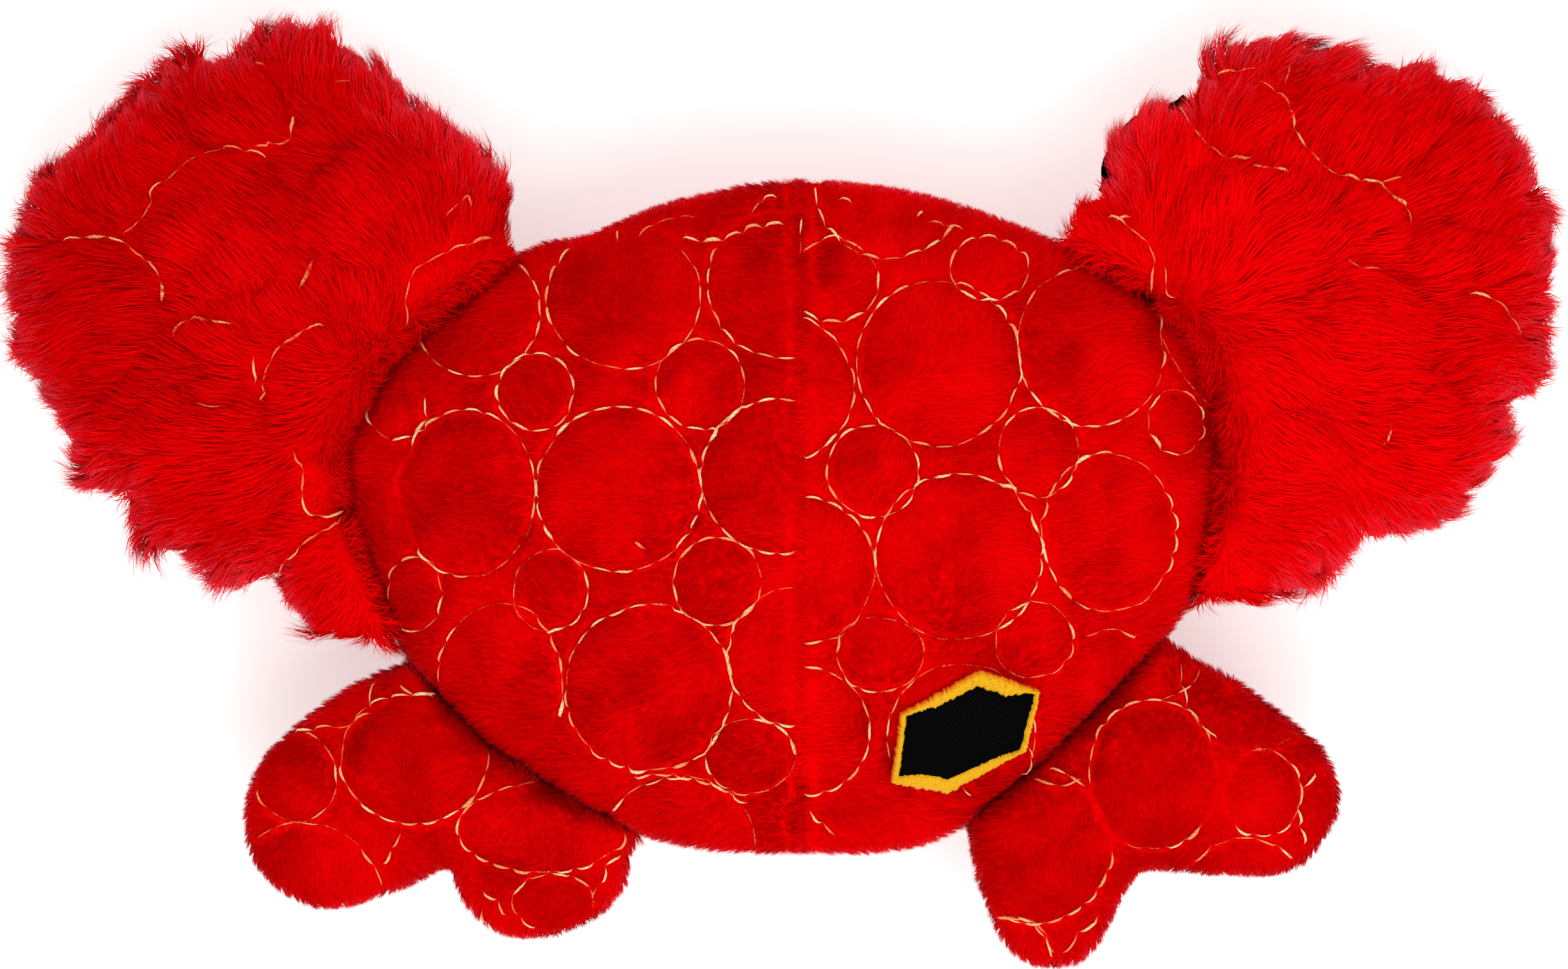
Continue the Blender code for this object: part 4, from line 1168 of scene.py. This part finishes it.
# The pink of strand tips at the fringe is painted pale light
PINK = (0.86, 0.10, 0.16)
STRAND_SHADES = [(0.0, (0.62, 0.5, 0.5)), (0.5, (0.93, 0.9, 0.9)), (1.0, (1.12, 1.2, 1.2))]
# The plies' colours: the dark end is painted shade in the grooves between the plies
PLY_COLOURS = [(0.0, (0.68, 0.26, 0.07)), (0.5, (1.0, 0.66, 0.32)), (1.0, (1.0, 0.78, 0.45))]
THREAD_TINTS = [
    (0.0, (0.95, 0.30, 0.2)), (0.33, (1.0, 0.5, 0.36)), (0.67, (1.0, 0.78, 0.68)), (1.0, WHITE),
]


def new_material(name, roughness, specular=0.0):
    """A Principled material and its node tree, ready for its colour."""
    material = bpy.data.materials.new(name)
    material.use_nodes = True
    shader = material.node_tree.nodes["Principled BSDF"]
    shader.inputs["Roughness"].default_value = roughness
    shader.inputs["Specular IOR Level"].default_value = specular
    return material, material.node_tree, shader


def add(tree, kind, settings=None, **values):
    """A node with some of its properties and input values set."""
    node = tree.nodes.new(kind)
    for key, value in (settings or {}).items():
        setattr(node, key, value)
    for key, value in values.items():
        node.inputs[key.replace("_", " ")].default_value = value
    return node


def maths(tree, operation, first, second):
    """A Math node on two values, each a number or another node's output."""
    node = add(tree, "ShaderNodeMath", {"operation": operation})
    for place, value in enumerate((first, second)):
        if isinstance(value, (int, float)):
            node.inputs[place].default_value = value
        else:
            tree.links.new(value, node.inputs[place])
    return node.outputs[0]


def ramp(tree, factor, stops):
    """A colour ramp from (place, colour) stops."""
    node = tree.nodes.new("ShaderNodeValToRGB")
    band = node.color_ramp
    while len(band.elements) < len(stops):
        band.elements.new(0.5)
    for element, (place, colour) in zip(band.elements, stops):
        element.position = place
        element.color = (*colour, 1.0)
    tree.links.new(factor, node.inputs["Fac"])
    return node.outputs["Color"]


def mixed(tree, factor, first, second, blend="MIX"):
    """A colour Mix node; the factor and the colours are values or outputs."""
    node = add(tree, "ShaderNodeMix", {"data_type": "RGBA", "blend_type": blend})
    for socket, value in ((node.inputs[0], factor), (node.inputs[6], first), (node.inputs[7], second)):
        if isinstance(value, (int, float)):
            socket.default_value = value
        elif isinstance(value, tuple):
            socket.default_value = (*value, 1.0)
        else:
            tree.links.new(value, socket)
    return node.outputs[2]


def layout_parts(tree):
    """The two coordinates of a place in the texture layout."""
    layout = add(tree, "ShaderNodeUVMap", {"uv_map": "OFBake"})
    split = tree.nodes.new("ShaderNodeSeparateXYZ")
    tree.links.new(layout.outputs["UV"], split.inputs[0])
    return split.outputs["X"], split.outputs["Y"]


def texture(tree, kind, settings=None, stretch=None, **values):
    """The value of a texture in object coordinates, stretched if asked."""
    place = tree.nodes.new("ShaderNodeTexCoord").outputs["Object"]
    if stretch:
        mapping = add(tree, "ShaderNodeMapping", Scale=stretch)
        tree.links.new(place, mapping.inputs["Vector"])
        place = mapping.outputs["Vector"]
    node = add(tree, kind, settings, **values)
    tree.links.new(place, node.inputs["Vector"])
    return node.outputs["Fac"]


def dress(tree, shader, colour, height, strength, distance):
    """Give a shader its colour, and a bump that follows a height."""
    bump = add(tree, "ShaderNodeBump", Strength=strength, Distance=distance)
    tree.links.new(height, bump.inputs["Height"])
    tree.links.new(bump.outputs["Normal"], shader.inputs["Normal"])
    tree.links.new(colour, shader.inputs["Base Color"])


def strand_material(name, root, body, light):
    """Red strands: darker at the root and lighter at the tip, painted shade deep in the pile, with a tone
    of their own.
    """
    material, tree, shader = new_material(name, 1.0)
    layout_x, layout_y = layout_parts(tree)
    columns = maths(tree, "MULTIPLY", layout_x, float(TONE_COLUMNS))
    tone = maths(tree, "DIVIDE", maths(tree, "FLOOR", columns, 0.0), TONE_COLUMNS - 1.0)
    rows = maths(tree, "MULTIPLY", layout_y, float(STYLE_ROWS))
    style = maths(tree, "FLOOR", rows, 0.0)
    along = maths(tree, "SUBTRACT", rows, style)
    # Darker towards the root: painted shade deep in the pile
    colour = ramp(tree, along, [(0.0, root), (0.42, body), (1.0, light)])
    colour = mixed(tree, 1.0, colour, ramp(tree, tone, STRAND_SHADES), "MULTIPLY")
    # Strands of a pink style turn pink towards the tip: painted pale light at the fringe
    towards_tip = maths(tree, "POWER", along, 2.2)
    tips = maths(tree, "MULTIPLY", towards_tip, maths(tree, "MULTIPLY", style, 0.34))
    colour = mixed(tree, tips, colour, PINK)
    tree.links.new(colour, shader.inputs["Base Color"])
    return material


def skin_material(name, dark, light, grain):
    """The cloth under the pile: red, with soft patches of painted nap sheen and fine brushed grain."""
    material, tree, shader = new_material(name, 1.0)
    # Soft patches: painted sheen of the nap
    patches = texture(tree, "ShaderNodeTexNoise", Scale=70.0, Detail=3.0, Roughness=0.55)
    fibres = texture(
        tree, "ShaderNodeTexNoise", stretch=(0.35, 1.0, 1.0), Scale=grain, Detail=2.0, Roughness=0.7
    )
    factor = maths(
        tree, "ADD", maths(tree, "MULTIPLY", patches, 0.55), maths(tree, "MULTIPLY", fibres, 0.45)
    )
    colour = ramp(tree, factor, [(0.36, dark), (0.62, light)])
    dress(tree, shader, colour, fibres, 0.4, 0.0006)
    return material


def thread_material():
    """Cream two-ply thread: slanted plies with painted shade in the grooves between them, and orange where
    it enters the pile, painted red light from the pile with the pile partly over it.
    """
    material, tree, shader = new_material("cream quilting thread", 0.7, specular=0.15)
    layout_x, layout_y = layout_parts(tree)
    columns = maths(tree, "MULTIPLY", layout_x, float(THREAD_TONES))
    column = maths(tree, "FLOOR", columns, 0.0)
    around = maths(tree, "SUBTRACT", columns, column)
    turn = maths(
        tree, "ADD", maths(tree, "MULTIPLY", layout_y, 5.0), maths(tree, "MULTIPLY", around, 2.0)
    )
    wave = maths(tree, "SINE", maths(tree, "MULTIPLY", turn, np.pi), 0.0)
    # Darker where the plies meet: painted shade in their grooves
    cream = ramp(tree, maths(tree, "ABSOLUTE", wave, 0.0), PLY_COLOURS)
    tone = maths(tree, "DIVIDE", column, THREAD_TONES - 1.0)
    cream = mixed(tree, 1.0, cream, ramp(tree, tone, THREAD_TINTS), "MULTIPLY")
    # Orange red towards each stitch's ends: painted red light bounced from the pile, and the pile partly
    # covering the thread
    off_middle = maths(tree, "ABSOLUTE", maths(tree, "SUBTRACT", layout_y, 0.49), 0.0)
    middle = maths(tree, "SUBTRACT", 1.0, maths(tree, "MULTIPLY", off_middle, 2.2))
    shown = ramp(tree, middle, [(0.12, BLACK), (0.46, WHITE)])
    colour = mixed(tree, shown, (0.75, 0.09, 0.012), cream)
    tree.links.new(colour, shader.inputs["Base Color"])
    return material


def cloth_material(name, threads, roughness):
    """Black cloth with a fine diagonal weave."""
    material, tree, shader = new_material(name, roughness)
    weave = texture(
        tree, "ShaderNodeTexWave", {"bands_direction": "DIAGONAL"}, Scale=threads, Distortion=0.4
    )
    colour = ramp(tree, weave, [(0.2, (0.0005, 0.0005, 0.0005)), (0.8, (0.005, 0.0046, 0.0046))])
    dress(tree, shader, colour, weave, 0.5, 0.0003)
    return material


def plastic_material():
    """Soft moulded plastic of the squeaker: milky, with faint flow marks."""
    material, tree, shader = new_material("soft squeaker plastic", 0.45, specular=0.5)
    marks = texture(tree, "ShaderNodeTexNoise", Scale=60.0, Detail=4.0, Distortion=0.8)
    grain = texture(tree, "ShaderNodeTexNoise", Scale=1800.0, Detail=2.0)
    colour = ramp(tree, marks, [(0.35, (0.74, 0.74, 0.70)), (0.65, (0.82, 0.82, 0.79))])
    dress(tree, shader, colour, grain, 0.15, 0.0002)
    return material


def filling_material():
    """White fibre fill: tangled strands with shaded hollows between them."""
    material, tree, shader = new_material("white fibre fill", 1.0)
    tufts = texture(tree, "ShaderNodeTexNoise", Scale=120.0, Detail=3.0, Distortion=2.0)
    fibres = texture(tree, "ShaderNodeTexNoise", Scale=900.0, Detail=3.0, Distortion=4.0)
    factor = maths(tree, "MULTIPLY", maths(tree, "ADD", tufts, fibres), 0.5)
    colour = ramp(tree, factor, [(0.35, (0.70, 0.70, 0.68)), (0.6, (0.88, 0.88, 0.86))])
    dress(tree, shader, colour, factor, 0.7, 0.001)
    return material


def satin_material():
    """Yellow satin stitch: glossy threads side by side with painted highlights on them and painted shade
    between them, orange at their edge.
    """
    material, tree, shader = new_material("yellow satin stitch", 0.5, specular=0.12)
    layout = add(tree, "ShaderNodeUVMap", {"uv_map": "OFBake"})
    # The noise paints highlights on the threads and shade between them
    noise = add(tree, "ShaderNodeTexNoise", Scale=46.0, Detail=3.0)
    tree.links.new(layout.outputs["UV"], noise.inputs["Vector"])
    colour = ramp(tree, noise.outputs["Fac"], [(0.4, (0.72, 0.17, 0.0)), (0.58, (1.0, 0.68, 0.012))])
    _, layout_y = layout_parts(tree)
    edge = ramp(tree, layout_y, [(0.04, (0.9, 0.45, 0.4)), (0.3, WHITE)])
    colour = mixed(tree, 1.0, colour, edge, "MULTIPLY")
    tree.links.new(colour, shader.inputs["Base Color"])
    return material


# Badge

SATIN_ROWS = 8
SATIN_TONES = 16
SATIN_RIDGE = 0.13
FIELD_SPACING = 0.7
# How far the black field goes under the satin edge
FIELD_TUCK = 0.25
FIELD_BULGE = 0.1


def polygon_points(corners, step, counts=None):
    """The corners of a closed polygon with points between them, and how many for each side."""
    points = []
    sides = list(zip(corners, np.roll(corners, -1, axis=0)))
    if counts is None:
        counts = [2 * max(1, round(np.linalg.norm(end - start) / step / 2)) for start, end in sides]
    for (start, end), count in zip(sides, counts):
        points += [start + (end - start) * i / count for i in range(count)]
    return np.array(points), counts


def on_back(plan, carrier):
    """Points on the smooth back under the badge, and the directions out of it."""
    height, up = carrier.footing(plan, BACK_RISE, BADGE_STEP, False)
    return np.column_stack([plan, height + FRAME_CLEARANCE / 2]), up


def satin_band(name, outer, inner, rows, carrier, thickness, material):
    """A raised ring of satin stitch between two outlines, with a ridge for each thread."""
    shares = np.linspace(0, 1, rows)
    arch = np.sin(np.pi * np.clip(shares, 0.06, 0.94)) ** 0.45
    ridge = SATIN_RIDGE * np.cos(np.pi * np.arange(len(outer)))
    sections = []
    for share, lift in zip(shares, arch):
        base, up = on_back(outer + (inner - outer) * share, carrier)
        sections.append(base + up * (BADGE_LIFT + thickness * lift + ridge * lift)[:, None])
    for edge in (inner, outer):
        base, up = on_back(edge, carrier)
        sections.append(base + up * BADGE_LIFT)
    sections = np.stack(sections, 1)
    thread = (np.arange(len(outer)) // 2) % SATIN_TONES
    u = np.repeat((thread[:, None] + 0.5) / SATIN_TONES, rows + 2, axis=1)
    v = np.tile(np.concatenate([shares * 0.9 + 0.05, [0.97, 0.02]]), (len(outer), 1))
    layout = np.column_stack([u.ravel(), v.ravel()])
    triangles = wall_triangles(len(outer), rows + 2, True)
    return make_piece(name, sections.reshape(-1, 3), triangles, material, None, layout)


def padded_patch(name, outline, spacing, carrier, thickness, bulge, material):
    """A thin patch on the back: a softly raised face, its edge and its underside."""
    plan, faces = plan_triangles(outline, spread(outline, spacing))
    base, up = on_back(plan, carrier)
    edge = np.clip(rim_distance(plan, outline) / 1.2, 0, 1)
    top = base + up * (BADGE_LIFT + thickness * (0.55 + 0.45 * edge) + bulge * edge)[:, None]
    low = base + up * BADGE_LIFT
    count, ring = len(plan), np.arange(len(outline))
    after = np.roll(ring, -1)
    sides = np.vstack([
        np.column_stack([ring + count, after + count, after]), np.column_stack([ring + count, after, ring])
    ])
    triangles = np.vstack([faces, faces[:, ::-1] + count, sides])
    corners = np.vstack([top, low])
    return make_piece(name, corners, triangles, material, None, plan_layout(corners))


def badge_piece(thing, node):
    """Stand a piece of the badge in for its node."""
    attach(thing, "root")
    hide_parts(node)


def build_badge(looks):
    carrier_loop = anticlockwise(respaced(BODY_CURVE, RIM_SPACING, True))
    carrier = Pillow(carrier_loop, BODY_CENTRE, 0, [], [], 0, 1.0)
    seen_inner = np.array(BADGE_INNER) * BADGE_SEEN
    outer, counts = polygon_points(BADGE_OUTLINE, SATIN_PITCH / 2)
    inner, _ = polygon_points(seen_inner, None, counts)
    random = np.random.default_rng(91)
    fray = FRAY * random.normal(0, 1, (2, len(outer) // 2)).repeat(2, axis=1)
    across = unit(outer - inner)
    outer, inner = outer + across * fray[0][:, None], inner - across * fray[1][:, None]
    border = satin_band(
        "badge_border_satin", outer, inner, SATIN_ROWS, carrier, BADGE_BORDER_THICKNESS, looks["satin"]
    )
    badge_piece(border, "badge_border")
    edge, _ = polygon_points(seen_inner, FIELD_SPACING)
    outline = anticlockwise(edge + FIELD_TUCK * unit(edge - edge.mean(0)))
    field = padded_patch(
        "badge_field_cloth", outline, FIELD_SPACING, carrier, BADGE_THICKNESS, FIELD_BULGE, looks["twill"]
    )
    badge_piece(field, "badge_field")


# A section of the lining lip from its underside round to its top: shares of its reach, and heights
LIP_SHARES = np.array([0.0, 0.35, 0.7, 0.92, 1.0, 1.0, 0.92, 0.7, 0.35, 0.0])
LIP_HEIGHTS = np.array([-1.0, -1.0, -1.0, -0.8, -0.2, 0.2, 0.8, 1.0, 1.0, 1.0])


def build_lining(side, claw, ends, least, peaks, looks):
    """The black cloth lip between a claw's two panels. It comes out of the fur at its peaks."""
    first, last = sorted(np.linalg.norm(claw.loop - np.array(end), axis=1).argmin() for end in ends)
    stretch = claw.loop[first:last + 1]
    out = outward(claw.loop)[first:last + 1]
    level = seam_level(stretch, claw.droop)
    reach = np.full(len(stretch), least)
    for peak in peaks:
        gap = np.linalg.norm(stretch - np.array(peak), axis=1)
        reach += (LIP_PEAK - least) * fading(gap, LIP_PEAK_WIDTH)
    sections = []
    for share, height in zip(LIP_SHARES, LIP_HEIGHTS):
        plan = stretch + out * (share * reach)[:, None]
        sections.append(np.column_stack([plan, level + LIP_THICKNESS / 2 * height]))
    corners = np.stack(sections, 1).reshape(-1, 3)
    points = len(LIP_SHARES)
    fan = np.array([(0, k, k + 1) for k in range(1, points - 1)])
    triangles = np.vstack([
        wall_triangles(len(stretch), points, False), fan, fan[:, ::-1] + (len(stretch) - 1) * points
    ])
    thing = make_piece(
        f"claw_lining_{side}_lip", corners, triangles, looks["lining"], None, plan_layout(corners)
    )
    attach(thing, "root")
    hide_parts(f"claw_lining_{side}")


# Stage

WORLD_LIGHT = 0.74
# The floor is this many metres wide, and glows where the camera sees it so that it comes out white
FLOOR_SIZE = 6.0
FLOOR_GLOW = 0.4


def build_camera():
    camera = bpy.data.objects.new("camera", bpy.data.cameras.new("camera"))
    camera.data.lens = LENS
    camera.data.sensor_width = SENSOR
    camera.location = (0.0, 0.0, (FRAME_PLANE + FRAME_WIDTH * LENS / SENSOR) * MM)
    camera.data.clip_end = 20.0
    bpy.context.scene.collection.objects.link(camera)
    bpy.context.scene.camera = camera


def build_lamp(name, place, size, power):
    """A square soft lamp that faces the toy."""
    lamp = bpy.data.lights.new(name, "AREA")
    lamp.size = size
    lamp.energy = power
    thing = bpy.data.objects.new(name, lamp)
    thing.location = place
    thing.rotation_euler = (-Vector(place)).to_track_quat("-Z", "Y").to_euler()
    bpy.context.scene.collection.objects.link(thing)


def build_floor():
    """A white floor that keeps the toy's shadow."""
    mesh = bpy.data.meshes.new("floor")
    half = FLOOR_SIZE / 2
    corners = [(-half, -half, 0), (half, -half, 0), (half, half, 0), (-half, half, 0)]
    mesh.from_pydata(corners, [], [(0, 1, 2, 3)])
    floor = bpy.data.objects.new("floor", mesh)
    bpy.context.scene.collection.objects.link(floor)
    material, tree, shader = new_material("white floor", 0.9, specular=0.1)
    shader.inputs["Base Color"].default_value = (0.9, 0.9, 0.9, 1.0)
    path = tree.nodes.new("ShaderNodeLightPath")
    seen = maths(tree, "MAXIMUM", path.outputs["Is Glossy Ray"], path.outputs["Is Transmission Ray"])
    seen = maths(tree, "MAXIMUM", path.outputs["Is Camera Ray"], seen)
    tree.links.new(maths(tree, "MULTIPLY", seen, FLOOR_GLOW), shader.inputs["Emission Strength"])
    shader.inputs["Emission Color"].default_value = (1.0, 1.0, 1.0, 1.0)
    mesh.materials.append(material)


def build_world():
    world = bpy.data.worlds.new("studio")
    bpy.context.scene.world = world
    world.use_nodes = True
    background = world.node_tree.nodes["Background"]
    background.inputs["Color"].default_value = (1.0, 1.0, 1.0, 1.0)
    background.inputs["Strength"].default_value = WORLD_LIGHT


def build_stage():
    bpy.context.scene.view_settings.view_transform = "Standard"
    build_camera()
    build_world()
    build_floor()
    build_lamp("key", place=(0.3, -0.8, 2.0), size=1.2, power=20.0)
    build_lamp("fill", place=(-0.6, 1.1, 1.7), size=1.4, power=4.0)


# Pieces

# Where a back panel's thread ends by the seam and at the top, and how its pile lies
Panel = namedtuple("Panel", "side sign gap top heading seed")
PANELS = (Panel("left", -1, 0.3, 45.5, 180, 21), Panel("right", 1, -0.3, 60.0, 20, 31))
BACK_STRANDS = 110000
BELLY_STRANDS = 50000
# The way the pile lies in degrees
BELLY_HEADING = 200
LEGS_HEADING = 250
# Which side of a limb, its sign, the spacing of its skin and its number of strands
CLAW_SIDES = (("back", 1, CLAW_SPACING, 52000), ("front", -1, UNDER_SPACING, 17000))
LEGS_SIDES = (("back", 1, LEGS_SPACING, 45000), ("front", -1, UNDER_SPACING, 22000))


def build_back_panel(panel, body, surface, circles, arcs, looks):
    """One half of the back with its pile and its quilting thread."""
    name = f"back_panel_{panel.side}"
    skin = skin_piece(f"{name}_skin", surface, looks["plush skin"], [name])

    def lines(plan):
        return stitch_distance(plan, circles, arcs)

    def shown(path):
        within = (panel.sign * (path[:, 0] - SEAM_X) > panel.gap) & (path[:, 1] < panel.top)
        within &= is_inside(path, body.loop) & (rim_distance(path, body.loop) > 1.0)
        within &= ~is_inside(path, BADGE_OUTLINE) & ~is_sunk(path, SUNK_BACK)
        return within & (stitch_distance(path, [], RIDGES_BACK) > 2.0)

    brightness = PLUSH_TONES[f"back {panel.side}"]
    rules = plush_rules(body, lines, panel.heading, panel.seed, brightness, panel.sign)
    grow(
        f"{name}_pile", skin, surface, BACK_STRANDS, panel.seed, panel.seed, PLUSH, rules,
        looks["plush"],
    )
    own_arcs = [arc for arc in arcs if panel.sign * (arc[0][0] - SEAM_X) > 0]
    thread_piece(
        f"{name}_thread", skin, body, BACK_RISE - BODY_PILE, PLUSH_THREAD, circles, own_arcs, shown,
        looks["thread"], panel.seed + 5,
    )


def build_belly(body, looks):
    surface = body.skin(UNDER_SPACING, BELLY_DROP - BODY_PILE, -1, quilted=False)
    name = "belly_panel"
    skin = skin_piece(f"{name}_skin", surface, looks["plush skin"], [name])
    rules = plush_rules(body, no_lines, BELLY_HEADING, 41, PLUSH_TONES["belly"])
    grow(
        f"{name}_pile", skin, surface, BELLY_STRANDS, 42, 42, PLUSH, rules, looks["plush"]
    )


def build_body(looks):
    loop = BODY_CURVE - outward(BODY_CURVE) * BODY_PILE
    loop = anticlockwise(respaced(loop, RIM_SPACING, True))
    circles = [nearer(circles, BACK_SEEN) for circles in (QUILT_BACK_LEFT, QUILT_BACK_RIGHT)]
    arcs = nearer(ARCS_BACK, BACK_SEEN)
    body = Body(loop, BODY_CENTRE, 0, circles, arcs, QUILT_DEPTH, 1.0)
    heights = np.arange(loop[:, 1].min() + 1, loop[:, 1].max() - 1, 1.0)
    seam = np.column_stack([np.full(len(heights), SEAM_X), heights])
    back = body.skin(BACK_SPACING, BACK_RISE - BODY_PILE, 1, extra=seam)
    on_left = back.corners[back.triangles].mean(1)[:, 0] < SEAM_X
    for panel, mark, own_circles in zip(PANELS, (on_left, ~on_left), circles):
        build_back_panel(panel, body, back.part(mark), own_circles, arcs, looks)
    build_belly(body, looks)


def build_claw(side, edge, centre, wrist, circles, arcs, ends, least, peaks, seed, looks):
    """A claw: its lining, its two furry panels and the thread on its back."""
    loop = limb_loop(edge, CLAW_PILE)
    circles, arcs = nearer(circles, CLAW_SEEN), nearer(arcs, CLAW_SEEN)
    claw = Pillow(loop, centre, CLAW_DROOP, circles, arcs, CLAW_QUILT_DEPTH, hem_weights(loop))
    rise = CLAW_RISE - CLAW_PILE
    build_lining(side, claw, ends, least, peaks, looks)
    for face, sign, spacing, count in CLAW_SIDES:
        name = f"claw_{face}_{side}"
        rules = claw_rules(claw, wrist, 1.0 if sign > 0 else FRONT_SHARE, CLAW_TONES[side])
        surface = claw.skin(spacing, rise, sign, quilted=sign > 0)
        skin = skin_piece(f"{name}_skin", surface, looks["fur skin"], [name])
        grow(
            f"{name}_fur", skin, surface, count, seed + sign, seed, FUR, rules, looks["fur"]
        )
        if sign > 0:
            thread_piece(
                f"{name}_thread", skin, claw, rise, FUR_THREAD, [], arcs, None, looks["thread"], seed
            )


def build_legs(side, edge, centre, circles, arcs, seed, looks):
    """A forked leg piece: its two plush panels and the thread on its back."""
    loop = limb_loop(edge, LEGS_PILE)
    legs = Pillow(loop, centre, LEGS_DROOP, circles, arcs, LEGS_QUILT_DEPTH, hem_weights(loop))
    rise = LEGS_RISE - LEGS_PILE

    def lines(plan):
        return stitch_distance(plan, circles, arcs)

    def shown(path):
        within = is_inside(path, legs.loop) & (rim_distance(path, legs.loop) > 1.2)
        return within & ~is_inside(path, BODY_CURVE) & ~is_sunk(path, SUNK_LEGS)

    for face, sign, spacing, count in LEGS_SIDES:
        name = f"legs_{face}_{side}"
        surface = legs.skin(spacing, rise, sign, quilted=sign > 0)
        skin = skin_piece(f"{name}_skin", surface, looks["plush skin"], [name])
        gaps = lines if sign > 0 else no_lines
        rules = plush_rules(legs, gaps, LEGS_HEADING, seed, PLUSH_TONES[f"legs {side}"])
        grow(
            f"{name}_pile", skin, surface, count, seed + sign, seed, PLUSH, rules,
            looks["plush"],
        )
        if sign > 0:
            thread_piece(
                f"{name}_thread", skin, legs, rise, PLUSH_THREAD, circles, arcs, shown,
                looks["thread"], seed,
            )


def build_looks():
    plush_reds = (0.68, 0.0, 0.0), (0.86, 0.0, 0.001), (0.96, 0.001, 0.002)
    fur_reds = (0.88, 0.0, 0.0), (0.95, 0.0, 0.001), (1.0, 0.001, 0.003)
    return {
        "plush": strand_material("red plush pile", *plush_reds),
        "fur": strand_material("red fur", *fur_reds),
        "plush skin": skin_material("red plush backing", (0.62, 0.0, 0.0), (0.86, 0.0, 0.001), 900.0),
        "fur skin": skin_material("red fur backing", (0.72, 0.0, 0.0), (0.90, 0.0, 0.001), 600.0),
        "thread": thread_material(),
        "twill": cloth_material("black twill", 900.0, 0.65),
        "lining": cloth_material("black lining cloth", 1400.0, 0.35),
        "satin": satin_material(),
        "plastic": plastic_material(),
        "filling": filling_material(),
    }


def dress_inner_nodes(looks):
    """The squeaker and the filling stay as the frame has them, each with its own material."""
    for name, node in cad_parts.items():
        look = "plastic" if name.startswith("squeaker") else "filling" if "stuffing" in name else None
        if look:
            for slot in node.material_slots:
                slot.material = looks[look]


def main():
    build_stage()
    looks = build_looks()
    build_body(looks)
    build_badge(looks)
    build_claw("left", CLAW_LEFT_EDGE, CLAW_LEFT_CENTRE, CLAW_LEFT_WRIST, QUILT_CLAW_LEFT,
               ARCS_CLAW_LEFT, LINING_LEFT, LIP_REACH_LEFT, (), 51, looks)
    build_claw("right", CLAW_RIGHT_EDGE, CLAW_RIGHT_CENTRE, CLAW_RIGHT_WRIST, QUILT_CLAW_RIGHT,
               ARCS_CLAW_RIGHT, LINING_RIGHT, LIP_REACH, PEAKS_RIGHT, 61, looks)
    build_legs("left", LEGS_LEFT_EDGE, LEGS_LEFT_CENTRE, QUILT_LEGS_LEFT, ARCS_LEGS_LEFT, 71, looks)
    build_legs("right", LEGS_RIGHT_EDGE, LEGS_RIGHT_CENTRE, QUILT_LEGS_RIGHT, ARCS_LEGS_RIGHT, 81, looks)
    dress_inner_nodes(looks)


main()
